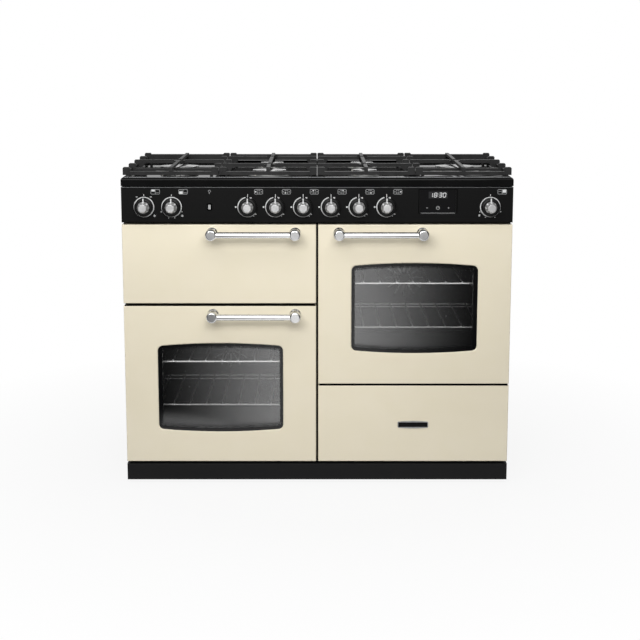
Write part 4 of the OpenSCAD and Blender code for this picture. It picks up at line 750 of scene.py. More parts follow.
# %% Handles
# The post's outline: radius and distance from the door, in mm.
POST = ((0.5, 0), (16.5, 0), (16.5, 3.4), (16.1, 4.2), (14.9, 5.8), (12.9, 7.6), (12, 9), (12, 27.6),
        (12.6, 28.8), (14.2, 30.2), (15.7, 31.6), (16.4, 33.4), (16.5, 35), (16.5, 48.6), (16.2, 50.8),
        (15.3, 52.9), (13.9, 54.6), (12.8, 55.5), (12.1, 55.9), (11.6, 56), (11.2, 56), (0.5, 56))
POST_R, BAR_R, BAR_OUT = 0.0165, 0.009, 0.045
for node_name, door in (("grill_handle", "grill_door"), ("left_handle", "left_oven_door"),
                        ("right_handle", "right_oven_door")):
    low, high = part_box(node_name)
    z = middle(node_name)[1]
    ends = (low.x + POST_R, high.x - POST_R)
    shapes = [turned([(r * MM, high.y - out * MM) for r, out in POST], (x, z), 64) for x in ends]
    shapes.append(rod(*ends, high.y - BAR_OUT, z, BAR_R, 48))
    piece = make(node_name + "_turned", joined(*shapes), chrome, door, "chrome", 30)
    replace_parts(piece, node_name)
    print(node_name, "faces", len(piece.data.polygons))

# %% [markdown]
# ## Dials and pictograms
# The panel carries a printed dial behind each knob and a small pictogram above it that says what
# the knob works. Print has hardly any thickness, so these are plates a fraction of a millimetre
# thick. The hob dials are open arcs with a mark at nine o'clock; the oven dials are full rings
# with dots and a small star where the fan or defrost setting is.

# %% Printing helpers
panel_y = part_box("control_panel")[0].y
shapes = []


def at(cx, cz, angle, r):
    return cx + r * math.cos(math.radians(angle)), cz + r * math.sin(math.radians(angle))


def printed(outline):
    return plate(outline, panel_y - INK, panel_y + INK)


def printed_band(inner, outer, closed=True):
    return band(inner, outer, panel_y - INK, panel_y + INK, closed)


def stroke(x0, z0, x1, z1, width):
    """Outline of a straight line of a given width."""
    dx, dz = x1 - x0, z1 - z0
    length = math.hypot(dx, dz)
    nx, nz = -dz / length * width / 2, dx / length * width / 2
    return [(x0 + nx, z0 + nz), (x0 - nx, z0 - nz), (x1 - nx, z1 - nz), (x1 + nx, z1 + nz)]


def disc(cx, cz, r):
    return arc(cx, cz, r, 0, 345, 23)


def ink_arc(cx, cz, r, width, start=0, end=360):
    full = end - start >= 360
    steps = max(4, int((end - start) / 5))
    inner, outer = (arc(cx, cz, r + k * width / 2, start, end, steps)[:-1 if full else None] for k in (-1, 1))
    shapes.append(printed_band(inner, outer, full))


def ink_line(x0, z0, x1, z1, width):
    shapes.append(printed(stroke(x0, z0, x1, z1, width)))


def ink_dot(cx, cz, r):
    shapes.append(printed(disc(cx, cz, r)))


def ink_frame(cx, cz, w, h):
    outer = round_rect(cx, cz, w, h, 0.0034)
    shapes.append(printed_band(round_rect(cx, cz, w - 0.0022, h - 0.0022, 0.0023), outer))


def tick(cx, cz, angle, r0, r1, width=0.0016):
    ink_line(*at(cx, cz, angle, r0), *at(cx, cz, angle, r1), width)


print("panel face at", round(panel_y, 4))

# %% [markdown]
# A dial is drawn round its knob's own middle, by angle and radius, as its maker would lay it out.
# The hob dials are open at the right: the long arc ends in a bar at the lower right, and a short
# arc and a dot lie beside the mark at the top. The star is three short strokes that cross.

# %% Dials
DIAL_R, DIAL_LINE = 0.0275, 0.0028
for cx, cz in map(middle, hob_knobs):
    ink_arc(cx, cz, DIAL_R, DIAL_LINE, 103, 318)
    ink_arc(cx, cz, DIAL_R, DIAL_LINE * 0.8, 72, 78)
    ink_dot(*at(cx, cz, 70, DIAL_R), 0.0022)
    tick(cx, cz, 318, DIAL_R - 0.003, DIAL_R + 0.0045, 0.0026)
    tick(cx, cz, 303, DIAL_R + 0.002, DIAL_R + 0.0045)
    ink_dot(*at(cx, cz, 180, DIAL_R + 0.0058), 0.0024)
    tick(cx, cz, 90, DIAL_R - 0.0014, DIAL_R + 0.0090)

(grill_x, grill_z), (left_x, left_z), (right_x, right_z) = map(middle, oven_knobs)
for cx, cz, marks, star in ((grill_x, grill_z, (), -40), (left_x, left_z, (205, 255, 285, 335), -40),
                            (right_x, right_z, (205, 245, 295, 335), 218)):
    ink_arc(cx, cz, DIAL_R, DIAL_LINE * 0.85)
    tick(cx, cz, 90, DIAL_R + 0.003, DIAL_R + 0.0085)
    for angle in marks:
        ink_dot(*at(cx, cz, angle, DIAL_R + 0.0045), 0.0013)
    star_x, star_z = at(cx, cz, star, DIAL_R + 0.011)
    for angle in (90, 150, 210):
        ink_line(*at(star_x, star_z, angle, -0.0034), *at(star_x, star_z, angle, 0.0034), 0.0012)
for side in (-1, 1):
    ink_line(grill_x + side * 0.0170, grill_z + 0.0285, grill_x + side * 0.0225, grill_z + 0.0285, 0.0014)
make("dial_print", joined(*shapes), dial_ink, "casing", "clock_glass")
print("dial marks", len(shapes))

# %% [markdown]
# The pictograms are drawn in a greyer ink and finer lines. A hob pictogram is the hob from above,
# with a filled dot for the burner that its knob works. An oven pictogram is the cooker from the
# front, with the grill, the low oven or the high oven filled. A small bulb marks the lamp button.

# %% Pictograms
shapes, filled = [], []
PICTO_H, PICTO_RISE = 0.0142, 0.043
# Burners seen from above, in steps of RING_X and RING_Z, in the order of their knobs.
RING_X, RING_Z = 0.0066, 0.0031
BURNERS = ((-1.25, 0), (-0.42, -1), (-0.42, 1), (0.42, 1), (0.42, -1), (1.25, 0))
for i, (cx, cz) in enumerate(map(middle, hob_knobs)):
    px, pz = cx + 0.031, cz + PICTO_RISE
    ink_frame(px, pz, 0.0245, PICTO_H)
    for k, (u, v) in enumerate(BURNERS):
        spot = (px + u * RING_X, pz + v * RING_Z)
        if k == i:
            filled.append(printed(disc(*spot, 0.0020)))
        else:
            ink_arc(*spot, 0.0014, 0.0008)

# Compartments of an oven pictogram: middle in x and z, and height.
COLUMN, CELL_W = 0.0060, 0.0096
COMPARTMENTS = {"grill": (-COLUMN, 0.0032, 0.0046), "low": (-COLUMN, -0.0018, 0.0076),
                "high": (COLUMN, 0.0018, 0.0076)}
for px, pz, lit in ((grill_x + 0.0325, grill_z, "grill"), (left_x + 0.0330, left_z, "low"),
                    (right_x + 0.0325, right_z, "high")):
    pz += PICTO_RISE
    ink_frame(px, pz, 0.0258, PICTO_H)
    ink_line(px, pz - PICTO_H / 2, px, pz + PICTO_H / 2, 0.0012)
    x, z, tall = COMPARTMENTS[lit]
    filled.append(printed(rect(px + x, pz + z, CELL_W, tall)))
    for x, z in ((-COLUMN, 0.0009), (COLUMN, -0.0027)):
        ink_line(px + x - CELL_W / 2, pz + z, px + x + CELL_W / 2, pz + z, 0.0010)

bulb_x, tab_z = middle("light_button")
bulb_z = grill_z + PICTO_RISE
ink_arc(bulb_x, bulb_z + 0.0014, 0.0030, 0.0010, -50, 230)
for drop, half in ((0.0022, 0.0017), (0.0042, 0.0013), (0.0058, 0.0007)):
    ink_line(bulb_x - half, bulb_z - drop, bulb_x + half, bulb_z - drop, 0.0010)

make("pictogram_lines", joined(*shapes), grey_ink, "casing", "clock_glass")
make("pictogram_fills", joined(*filled), dial_ink, "casing", "clock_glass")
print("pictograms", len(filled))

# %% [markdown]
# ## Clock
# The clock shows four slanted seven-segment digits behind a black window, and three touch marks
# under them. The segments are small plates: a function lays out the seven bars of one digit, and
# a table says which bars each numeral lights.

# %% Clock digits
clock_low, clock_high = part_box("clock_module")
clock_x, clock_z = middle("clock_module")
SEGMENTS = {"1": "bc", "8": "abcdefg", "3": "abcdg", "0": "abcdef"}
DIGIT_W, DIGIT_H, BAR = 0.0074, 0.0116, 0.0013
SLANT = 0.14
display_z = clock_z + 0.0178
glow = []


def bar(cx, x0, z0, x1, z1):
    """One lit bar, leaning with the digits."""
    corners = [(cx + x + SLANT * z, display_z + z) for x, z in stroke(x0, z0, x1, z1, BAR)]
    glow.append(plate(corners, panel_y - 3 * INK, panel_y - INK))


w, h, trim = DIGIT_W / 2, DIGIT_H / 2, BAR * 0.55
BARS = {"a": (-w + trim, h, w - trim, h), "b": (w, h - trim, w, trim), "c": (w, -trim, w, -h + trim),
        "d": (-w + trim, -h, w - trim, -h), "e": (-w, -trim, -w, -h + trim),
        "f": (-w, h - trim, -w, trim), "g": (-w + trim, 0, w - trim, 0)}
for offset, numeral in ((-0.0192, "1"), (-0.0070, "8"), (0.0068, "3"), (0.0180, "0")):
    for key in SEGMENTS[numeral]:
        bar(clock_x + offset, *BARS[key])
for rise in (-0.0028, 0.0028):
    bar(clock_x, -0.0001, rise - 0.0006, 0.0001, rise + 0.0006)
window = round_rect(clock_x, display_z, 0.053, 0.0192, 0.001)
make("display_window", plate(window, panel_y - INK, panel_y), display_black, "casing", "clock_glass")
make("display_digits", joined(*glow), digit_light, "casing", "clock_glass")
print("lit bars", len(glow))

# %% [markdown]
# The touch marks are a minus, a plus and a clock face, over a pale line. A thin black band round
# the module is painted shade: it stands for the shaded gap between its window and the
# powder-coated panel.

# %% Clock marks and painted gap shade
shapes = []
marks_z = clock_z - 0.0185
line_z = clock_z - 0.0335
ink_line(clock_x - 0.048, line_z, clock_x + 0.048, line_z, 0.0025)
# Minus, plus and a small clock face, as lines from the middle of the marks, with their widths.
for x0, z0, x1, z1, width in ((-0.0330, 0, -0.0280, 0, 0.0014), (0.0275, 0, 0.0325, 0, 0.0014),
                              (0.0300, -0.0025, 0.0300, 0.0025, 0.0014), (0, 0, 0, 0.0032, 0.0010),
                              (0, 0, 0.0022, 0.0014, 0.0010)):
    ink_line(clock_x + x0, marks_z + z0, clock_x + x1, marks_z + z1, width)
ink_arc(clock_x, marks_z, 0.0045, 0.0014)
make("clock_marks", joined(*shapes), grey_ink, "casing", "clock_glass")
wide, tall = clock_high.x - clock_low.x, clock_high.z - clock_low.z
# Painted shade: a black band where the gap round the clock module would lie in shade.
gap_shade = printed_band(round_rect(clock_x, clock_z, wide - 0.0012, tall - 0.0012, 0.0006),
                    round_rect(clock_x, clock_z, wide + 0.0022, tall + 0.0016, 0.0016))
make("clock_seam", gap_shade, shade_black, "casing", "clock_glass")
print("clock marks", len(shapes))

# %% [markdown]
# ## Light button and badge plate
# The lamp button shows a grey thumb tab, ringed by a flat black band that is painted shade: it
# stands for the shaded round-cornered well that the button sits in. The drawer front carries a small
# black plate in an aluminium rim whose long edges bow outwards. Both are bare of lettering.

# %% Button tab and badge plate
# Painted shade: a flat black ring for the shade of the well round the lamp button.
well = printed_band(round_rect(bulb_x, tab_z, 0.0078, 0.0134, 0.0014),
                    round_rect(bulb_x, tab_z, 0.0136, 0.0200, 0.0030))
make("light_button_well", well, shade_black, "casing", "panel_paint")
tab = round_rect(bulb_x, tab_z, 0.0070, 0.0126, 0.0012)
button_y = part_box("light_button")[0].y
make("light_button_tab", plate(tab, button_y - 0.0005, button_y + 0.004), grey_tab, "light_button",
     "knob_plastic", bevel=0.0005)

BADGE_X, BADGE_Z = 0.2760, 0.1772
BADGE_W, BADGE_H, BADGE_R = 0.0880, 0.0175, 0.0020
FIELD_W, FIELD_H, FIELD_R = 0.0840, 0.0142, 0.0006
BOW, BOW_STEPS = 0.0024, 40
drawer_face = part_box("drawer_front")[0].y


def bowed(w, h, r, bow=0):
    """Round-cornered outline on the drawer, its long edges bowed outwards by `bow` at the middle."""
    line = []
    for edge in (1, -1):
        for step in range(BOW_STEPS + 1):
            along = edge * w * (0.5 - step / BOW_STEPS)
            inset = max(abs(along) - (w / 2 - r), 0)
            rise = h / 2 - r + math.sqrt(max(r * r - inset * inset, 0)) + bow * (1 - (2 * along / w) ** 2)
            line.append((BADGE_X + along, BADGE_Z + edge * rise))
    return line


rim = band(bowed(FIELD_W, FIELD_H, FIELD_R), bowed(BADGE_W, BADGE_H, BADGE_R, BOW),
           drawer_face - 0.0022, drawer_face)
make("badge_rim", rim, alloy, "drawer", "chrome", bevel=0.0004)
field = bowed(FIELD_W + 0.0006, FIELD_H + 0.0006, FIELD_R)
make("badge_plate", plate(field, drawer_face - 0.0012, drawer_face), clock_black, "drawer", "clock_glass")
print("badge", BADGE_W, BADGE_H)

# %% [markdown]
# ## Painted shade strips
# A black strip lies on top of the drawer front and one on top of the lower left door. It is painted
# shade: a dark sheet set where the slots between the fronts would only be in shade, so that they
# read as black lines. Each is a flat bar a little behind the face and lower than its slot. The strip
# on the lower left door is thin, because the grill door above drops open and its lower edge comes
# down into the slot.

# %% Strips on the top edges
STRIP_BACK, STRIP_DEPTH, STRIP_END, STRIP_SUNK = 0.0012, 0.0180, 0.0030, 0.0004
for node, body, strip_h in (("drawer_front", "drawer", 0.0030), ("left_oven_door", "left_oven_door", 0.0012)):
    low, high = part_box(node)
    outline = round_rect((low.x + high.x) / 2, high.z + strip_h / 2 - STRIP_SUNK,
                         high.x - low.x - 2 * STRIP_END, strip_h + STRIP_SUNK, 0.0004, 2)
    bar_shape = plate(outline, low.y + STRIP_BACK, low.y + STRIP_BACK + STRIP_DEPTH)
    # Painted shade: a black strip in the slot above the front, where the slot lies in shade.
    make(body + "_dust_strip", bar_shape, shade_black, body, "seal_rubber")
    print(body, "painted shade strip", round(strip_h / MM, 1), "mm high")

# %% [markdown]
# ## Rows of screws and louvres
# The rear and side panels are held by pan-head screws, the fan covers and inner door panels by
# smaller ones, and the vents in the rear panel are covered by pressed louvre hoods. All of these
# are one shape repeated along a line. Geometry Nodes does that: each modifier adds a row of copies
# to what it is given, turned to face outwards, and a seeded random spin leaves no two screws
# alike. The result is turned into a plain mesh, so nothing depends on the nodes afterwards.

# %% Helpers for node trees that make meshes
def mesh_tree(name, **inputs):
    """New tree with a Geometry input and output and the named inputs, and its input sockets."""
    tree = bpy.data.node_groups.new(name, "GeometryNodeTree")
    for title, kind in {"Geometry": "Geometry", **inputs}.items():
        tree.interface.new_socket(title, in_out="INPUT", socket_type="NodeSocket" + kind)
    tree.interface.new_socket("Geometry", in_out="OUTPUT", socket_type="NodeSocketGeometry")
    return tree, add(tree, "NodeGroupInput").outputs


def end_tree(tree, given, copies):
    """Make the copies real and give them their finish."""
    real = add(tree, "GeometryNodeRealizeInstances", (copies,))
    done = add(tree, "GeometryNodeSetMaterial", {"Geometry": real, "Material": given["Finish"]})
    add(tree, "NodeGroupOutput", {"Geometry": done})
    return tree


def run_tree(host, tree, **values):
    """Add the tree to an object as a modifier. Its inputs are set by their sockets' identifiers."""
    modifier = host.modifiers.new(tree.name, "NODES")
    modifier.node_group = tree
    for item in tree.interface.items_tree:
        if item.in_out == "INPUT" and item.name in values:
            modifier[item.identifier] = values[item.name]


def plain_mesh(host, *helpers):
    """Evaluated mesh of an object, which is then removed with its helpers."""
    mesh = bpy.data.meshes.new_from_object(host.evaluated_get(bpy.context.evaluated_depsgraph_get()))
    for thing in (host, *helpers):
        bpy.data.objects.remove(thing)
    return mesh


FRONTWARD, BACKWARD = (math.pi / 2, 0, 0), (math.pi / 2, 0, math.pi)
RIGHTWARD, LEFTWARD = (0, math.pi / 2, 0), (0, -math.pi / 2, 0)
print("trees so far", len(bpy.data.node_groups))

# %% [markdown]
# The row tree draws a line of points, sets the piece on each, turns it to face outwards and spins
# it by a random angle. It joins the row to what it was given, so several modifiers on one empty
# object stack up all the rows of a panel, each with a seed of its own.

# %% Row of pieces as a node tree
def row_tree():
    tree, given = mesh_tree("row_of_pieces", Piece="Object", Start="Vector", Step="Vector", Count="Int",
                            Facing="Vector", Spin="Float", Seed="Int", Finish="Material")
    line = add(tree, "GeometryNodeMeshLine", {"Count": given["Count"], "Start Location": given["Start"],
                                              "Offset": given["Step"]}, mode="OFFSET")
    piece = add(tree, "GeometryNodeObjectInfo", {"Object": given["Piece"]})
    copies = add(tree, "GeometryNodeInstanceOnPoints", {"Points": line, "Rotation": given["Facing"],
                                                        "Instance": piece.outputs["Geometry"]})
    angle = add(tree, "FunctionNodeRandomValue", {2: 0.0, 3: given["Spin"], "Seed": given["Seed"]},
                data_type="FLOAT")
    spin = add(tree, "ShaderNodeCombineXYZ", {"Z": angle.outputs[1]})
    spun = add(tree, "GeometryNodeRotateInstances", {"Instances": copies, "Rotation": spin,
                                                     "Local Space": True})
    both = add(tree, "GeometryNodeJoinGeometry", (given["Geometry"],))
    tree.links.new(spun.outputs[0], both.inputs[0])
    return end_tree(tree, given, both)


ROW = row_tree()


def rows_of(name, piece_mesh, rows, material, body="casing", spin=math.pi):
    """Plain mesh of rows of copies. A row is (start, step, count, facing), with Z outwards on the copy."""
    piece = linked(name + "_one", piece_mesh)
    host = linked(name + "_host", bpy.data.meshes.new(name + "_host"))
    for k, (start, step, count, facing) in enumerate(rows, 1):
        run_tree(host, ROW, Piece=piece, Start=start, Step=step, Count=count, Facing=facing, Spin=spin,
                 Seed=k, Finish=material)
    return place(name, plain_mesh(host, piece), body, "sheet_steel", 35)


print("row nodes", len(ROW.nodes))

# %% [markdown]
# The black print on the window does not stop at a line: it ends in rows of dots that grow smaller
# towards the clear glass. A second tree takes closed loops of edges, makes curves of them, walks
# along each curve by a fixed pitch, and sets a dot at every step. Each loop carries its own dot
# size as an attribute, so one object holds all the rows of a door.

# %% Dots that fade out the window print
def dots_tree():
    tree, given = mesh_tree("dots_along_loops", Dot="Object", Pitch="Float", Facing="Vector",
                            Finish="Material")
    loops = add(tree, "GeometryNodeMeshToCurve", {"Mesh": given["Geometry"]})
    steps = add(tree, "GeometryNodeResampleCurve", {"Curve": loops, "Length": given["Pitch"]},
                mode="LENGTH")
    size = add(tree, "GeometryNodeInputNamedAttribute", {"Name": "dot_size"}, data_type="FLOAT")
    dot = add(tree, "GeometryNodeObjectInfo", {"Object": given["Dot"]})
    copies = add(tree, "GeometryNodeInstanceOnPoints", {"Points": steps, "Scale": size,
                                                        "Rotation": given["Facing"],
                                                        "Instance": dot.outputs["Geometry"]})
    return end_tree(tree, given, copies)


DOTS = dots_tree()
DOT_PITCH, DOT_SIDES = 0.003, 6
# Partly painted shade: like the border, the rows lie wider at the top and widest at the bottom, for the shade
# in the window's recess.
# A row of dots: its margins at the sides, top and bottom of the window, and its dot's radius in mm.
DOT_ROWS = ((0.0078, 0.0102, 0.0130, 1.25), (0.0088, 0.0120, 0.0157, 0.95), (0.0098, 0.0138, 0.0184, 0.65))
for side, window in window_places.items():
    points, edges, sizes = [], [], []
    dots_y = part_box(side + "_oven_door")[0].y + PANE_BACK - INK / 2
    for *margins, radius in DOT_ROWS:
        loop = print_edge(*window, *margins)
        first, n = len(points), len(loop)
        points += [(x, dots_y, z) for x, z in loop]
        edges += [(first + k, first + (k + 1) % n) for k in range(n)]
        sizes += [radius] * n
    mesh = bpy.data.meshes.new(side + "_dot_loops")
    mesh.from_pydata(points, edges, [])
    mesh.attributes.new("dot_size", "FLOAT", "POINT").data.foreach_set("value", sizes)
    host = linked(side + "_dot_loops", mesh)
    points, faces = plate(arc(0, 0, 0.001, 0, 300, DOT_SIDES - 1), -INK / 2, INK / 2)
    dot = linked("print_dot", mesh_of("print_dot", ([(x, z, y) for x, y, z in points], faces)))
    run_tree(host, DOTS, Dot=dot, Pitch=DOT_PITCH, Facing=FRONTWARD, Finish=glass_print)
    piece = place(side + "_window_dots", plain_mesh(host, dot), side + "_oven_door", "dark_glass")
    print(side, "dots", len(piece.data.polygons) // (DOT_SIDES + 2))

# %% [markdown]
# The screw head is a low dome with a cross cut into it by two Boolean boxes. The louvre hood is a
# sheet that rises from the panel along its top edge and stands open along the bottom.

# %% Screw head and louvre hood
def screw_head(name, r, high):
    dome = [(0.0002, -0.0002), (r, -0.0002), (r, high * 0.3), (r * 0.92, high * 0.62),
            (r * 0.7, high * 0.88), (r * 0.35, high), (0.0002, high)]
    head = linked(name, mesh_of(name, turned(dome, (0, 0), 24, upright=True)))
    cutters = []
    for w, h in ((r * 1.24, r * 0.26), (r * 0.26, r * 1.24)):
        points, faces = plate(rect(0, 0, w, h), high * 0.35, high * 1.5)
        cutter_mesh = mesh_of(name + "_cutter", ([(x, z, y) for x, y, z in points], faces))
        clean_normals(cutter_mesh)
        cutters.append(linked(name + "_cutter", cutter_mesh))
        cut = head.modifiers.new("cross", "BOOLEAN")
        cut.object, cut.operation, cut.solver = cutters[-1], "DIFFERENCE", "EXACT"
    clean_normals(head.data)
    return plain_mesh(head, *cutters)


def louvre_hood(name, half, top, bottom, high, sheet, across=24, down=8):
    """Hood that is 2 half wide, from y top to y bottom, rising to high over sheet thickness."""
    points, faces, n = [], [], down + 1
    for i in range(across + 1):
        x = -half + half * 2 * i / across
        taper = math.sqrt(max(0.0, 1 - (max(0.0, abs(x) - half * 0.8) / (half * 0.2)) ** 2))
        outer = [(x, top + (bottom - top) * k / down, high * taper * math.sin(math.pi / 2 * k / down))
                 for k in range(n)]
        points += outer + [(x, y, z - sheet) for x, y, z in outer]
    for i in range(across):
        a, b = i * 2 * n, (i + 1) * 2 * n
        for k in range(down):
            faces += [(a + k, a + k + 1, b + k + 1, b + k),
                      (a + n + k, b + n + k, b + n + k + 1, a + n + k + 1)]
        faces += [(a, b, b + n, a + n), (a + n - 1, a + 2 * n - 1, b + 2 * n - 1, b + n - 1)]
    last = across * 2 * n
    for k in range(down):
        faces += [(k, k + n, k + n + 1, k + 1), (last + k, last + k + 1, last + k + n + 1, last + k + n)]
    mesh = mesh_of(name, (points, faces))
    clean_normals(mesh)
    return mesh


panel_screw = screw_head("panel_screw", 0.0040, 0.0018)
small_screw = screw_head("small_screw", 0.0030, 0.0013)
hood = louvre_hood("louvre_hood", 0.066, 0.0065, -0.0045, 0.0032, 0.0010)
print("screw faces", len(panel_screw.polygons), "hood faces", len(hood.polygons))

# %% [markdown]
# Now the rows. The rear panel has screws round its rim, each side panel a row above and below, each
# fan cover four screws, and each oven door two rows inside. Every row is given by its first place,
# its step, its count and the way it faces.

# %% Screws and louvres in place
EDGE, SIDE_EDGE, VENT_STEP = 0.012, 0.03, 0.014
COVER_X, COVER_Z = 0.135, 0.125        # from a fan's axis to the screws of its cover
LINING_X, LINING_Z = 0.135, 0.168      # from the middle of a window to the screws of its door
back_low, back_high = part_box("rear_panel")
side_low, side_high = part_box("side_panels")
rear_y = back_high.y
wide, tall = back_high.x - back_low.x - 2 * EDGE, back_high.z - back_low.z - 2 * EDGE
rear_rows = [((back_low.x + EDGE, rear_y, z), (wide / 6, 0, 0), 7, BACKWARD)
             for z in (back_low.z + EDGE, back_high.z - EDGE)]
rear_rows += [((x, rear_y, back_low.z + EDGE + tall / 4), (0, 0, tall / 4), 3, BACKWARD)
              for x in (back_low.x + EDGE, back_high.x - EDGE)]
rows_of("rear_panel_screws", panel_screw, rear_rows, stainless)
side_step = (0, (side_high.y - side_low.y - 2 * SIDE_EDGE) / 3, 0)
side_rows = [((s * side_high.x, side_low.y + SIDE_EDGE, z), side_step, 4, facing)
             for s, facing in ((1, RIGHTWARD), (-1, LEFTWARD))
             for z in (side_low.z + EDGE, side_high.z - EDGE)]
rows_of("side_panel_screws", panel_screw, side_rows, stainless)
fan_places = [Vector(joint["pos_m"]) for joint in frame["record"]["behaviour"]["joints"]
              if joint["name"] in ("left_fan_spin", "right_fan_spin")]
cover_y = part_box("fan_covers")[0].y
cover_rows = [((p.x - COVER_X, cover_y, p.z + z), (2 * COVER_X, 0, 0), 2, FRONTWARD)
              for p in fan_places for z in (-COVER_Z, COVER_Z)]
rows_of("fan_cover_screws", small_screw, cover_rows, stainless)
door_back_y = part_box("right_oven_door")[1].y
for side, (x, z) in window_places.items():
    lining_rows = [((x - LINING_X, door_back_y, z + rise), (2 * LINING_X / 3, 0, 0), 4, BACKWARD)
                   for rise in (-LINING_Z, LINING_Z)]
    rows_of(side + "_door_screws", small_screw, lining_rows, stainless, side + "_oven_door")
vents = [(p.x, p.z, 7) for p in fan_places] + [(*middle("grill_liner"), 4)]
hood_rows = [((x, rear_y - 0.0002, z - (n - 1) / 2 * VENT_STEP), (0, 0, VENT_STEP), n, BACKWARD)
             for x, z, n in vents]
hoods = rows_of("rear_louvres", hood, hood_rows, zinc, spin=0.0)
print("rear screws", sum(row[2] for row in rear_rows), "louvres", sum(n for *_, n in vents),
      "louvre faces", len(hoods.data.polygons))

# %% [markdown]
# ## The studio
# The cooker stands on a pale floor in a white room. White comes from what the camera sees, not
# from more light: camera and glass rays meet a white world. Mirror rays meet a grey room with a
# dark ceiling and dark flags at both sides, which draw the dark lines along the chrome bars.
# One shader does this for the world and the floor: it tells mirror rays and seen rays apart.

# %% World
SKY, ROOM, CEILING, SIDE_FLAG = 0.26, 0.85, 0.35, 0.06
WHITE = (1, 1, 1, 1)


def by_ray(tree, plain, mirrored, seen):
    """Shader that differs for mirror rays and for rays that the camera sees, also through glass."""
    path = add(tree, "ShaderNodeLightPath").outputs
    direct = add(tree, "ShaderNodeMath", (path["Is Camera Ray"], path["Is Transmission Ray"]),
                 operation="MAXIMUM")
    others = add(tree, "ShaderNodeMixShader", (path["Is Glossy Ray"], plain, mirrored))
    return add(tree, "ShaderNodeMixShader", (direct, others, seen))


world = bpy.data.worlds.new("studio")
bpy.context.scene.world = world
world.use_nodes = True
tree = world.node_tree
tree.nodes.clear()
direction = add(tree, "ShaderNodeTexCoord").outputs["Generated"]
axes = add(tree, "ShaderNodeSeparateXYZ", (direction,)).outputs
sideways = add(tree, "ShaderNodeMath", (axes["X"],), operation="ABSOLUTE")
mirror_level = ROOM
for source, start, end, first, last in ((axes["Z"], 0.06, 0.14, 0.6, 1.0),       # foot of the walls
                                        (axes["Z"], 0.88, 0.96, 1.0, CEILING),
                                        (sideways, 0.6, 0.8, 1.0, SIDE_FLAG)):
    dimmer = add(tree, "ShaderNodeMapRange", (source, start, end, first, last))
    mirror_level = add(tree, "ShaderNodeMath", (mirror_level, dimmer), operation="MULTIPLY")
lighting, mirrored, seen = (add(tree, "ShaderNodeBackground", (WHITE, strength))
                            for strength in (SKY, mirror_level, 1.0))
add(tree, "ShaderNodeOutputWorld", (by_ray(tree, lighting, mirrored, seen),))
print("world nodes", len(tree.nodes))

# %% [markdown]
# The camera sees the floor as white with a trace of the cooker's shadow. To mirror rays, the floor
# in front of the doors is a bright wedge between two dark flags, so a low window mirrors a bright
# floor at its inner side and a dark one at its outer side. The wedge spreads away from the doors
# as the camera's view does. Right at the doors and behind them the floor is evenly bright.

# %% Floor
FLAG_NEAR, FLAG_FAR, FLAG_APEX = 0.05, 0.50, 3.6
FLOOR_DARK, FLOOR_BRIGHT, FAR_FLOOR = 0.04, 1.0, 0.7
FLOOR_HALF = 8.0


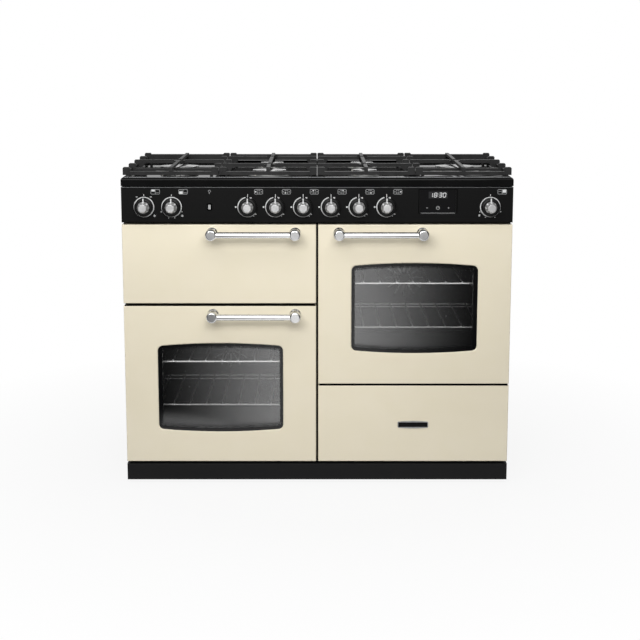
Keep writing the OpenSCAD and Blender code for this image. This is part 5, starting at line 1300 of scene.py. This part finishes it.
def pale_floor():
    """Pale vinyl floor with the cooker's shadow."""
    material = bpy.data.materials.new("pale_studio_vinyl")
    material.use_nodes = True
    tree = material.node_tree
    tree.nodes.clear()
    place = add(tree, "ShaderNodeTexCoord").outputs["Object"]
    axes = add(tree, "ShaderNodeSeparateXYZ", (place,)).outputs
    matt = add(tree, "ShaderNodeBsdfDiffuse", ((0.62, 0.62, 0.62, 1),))
    white = add(tree, "ShaderNodeEmission", (WHITE, 1.0))
    away = add(tree, "ShaderNodeVectorMath", (place,), operation="LENGTH").outputs["Value"]
    share = add(tree, "ShaderNodeMapRange", (away, 0.6, 1.5, 0.9, 1.0))
    seen = add(tree, "ShaderNodeMixShader", (share, matt, white))
    ahead = add(tree, "ShaderNodeMath", (door_face_y, axes["Y"]), operation="SUBTRACT")
    spread = add(tree, "ShaderNodeMath", (ahead, 1 / FLAG_APEX, 1.0), operation="MULTIPLY_ADD")
    aside = add(tree, "ShaderNodeMath", (axes["X"],), operation="ABSOLUTE")
    fan = add(tree, "ShaderNodeMath", (aside, spread), operation="DIVIDE")
    wedge = add(tree, "ShaderNodeMapRange", (fan, FLAG_NEAR, FLAG_FAR, FLOOR_BRIGHT, FLOOR_DARK),
                interpolation_type="SMOOTHSTEP")
    wedge = add(tree, "ShaderNodeMath", (wedge, 1.5), operation="POWER")
    at_doors = add(tree, "ShaderNodeMapRange", (ahead, 0.45, 0.75, 1.0, 0.0))
    lit = add(tree, "ShaderNodeMath", (wedge, at_doors), operation="MAXIMUM")
    glow = add(tree, "ShaderNodeMapRange", (ahead, -0.1, 0.1, 1.0, lit))
    glow = add(tree, "ShaderNodeMapRange", (ahead, 4.2, 5.5, glow, FAR_FLOOR))
    mirrored = add(tree, "ShaderNodeEmission", (WHITE, glow))
    add(tree, "ShaderNodeOutputMaterial", (by_ray(tree, matt, mirrored, seen),))
    return material


corners = [(x, y, -0.0005) for x, y in rect(0, 0, 2 * FLOOR_HALF, 2 * FLOOR_HALF)]
floor = linked("studio_floor", mesh_of("studio_floor", (corners, [(0, 1, 2, 3)])))
floor.data.materials.append(pale_floor())
print("floor", 2 * FLOOR_HALF, "m wide")

# %% [markdown]
# The doors are lit by one large soft panel above and in front, so that they grow darker towards
# the floor and the handles throw a short shadow. A smaller panel lights the hob, one behind the
# cooker lights its back, and a faint lamp behind each oven pane lifts the oven's inside.

# %% Lamps
def softbox(name, where, target, width, height, watts):
    lamp = linked(name, bpy.data.lights.new(name, "AREA"))
    lamp.data.shape = "RECTANGLE"
    lamp.data.size, lamp.data.size_y, lamp.data.energy = width, height, watts
    lamp.location = where
    lamp.rotation_euler = (Vector(target) - Vector(where)).to_track_quat("-Z", "Y").to_euler()


softbox("key_softbox", (-0.3, -2.3, 1.74), (0, -0.28, 0.6), 2.2, 0.87, 39)
softbox("top_softbox", (-0.15, -1.0, 1.75), (-0.1, -0.33, 0.75), 1.8, 0.5, 6)
for side, (x, z) in window_places.items():
    lamp_y, lamp_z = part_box(side + "_window_glass")[1].y + 0.003, z + 0.045
    softbox(side + "_oven_fill", (x, lamp_y, lamp_z), (x, lamp_y + 1, lamp_z), 0.33, 0.145, 0.2)
softbox("back_softbox", (0.5, 2.4, 2.6), (0, 0.2, 0.8), 1.8, 1.2, 22)
bpy.context.scene.view_settings.view_transform = "Standard"
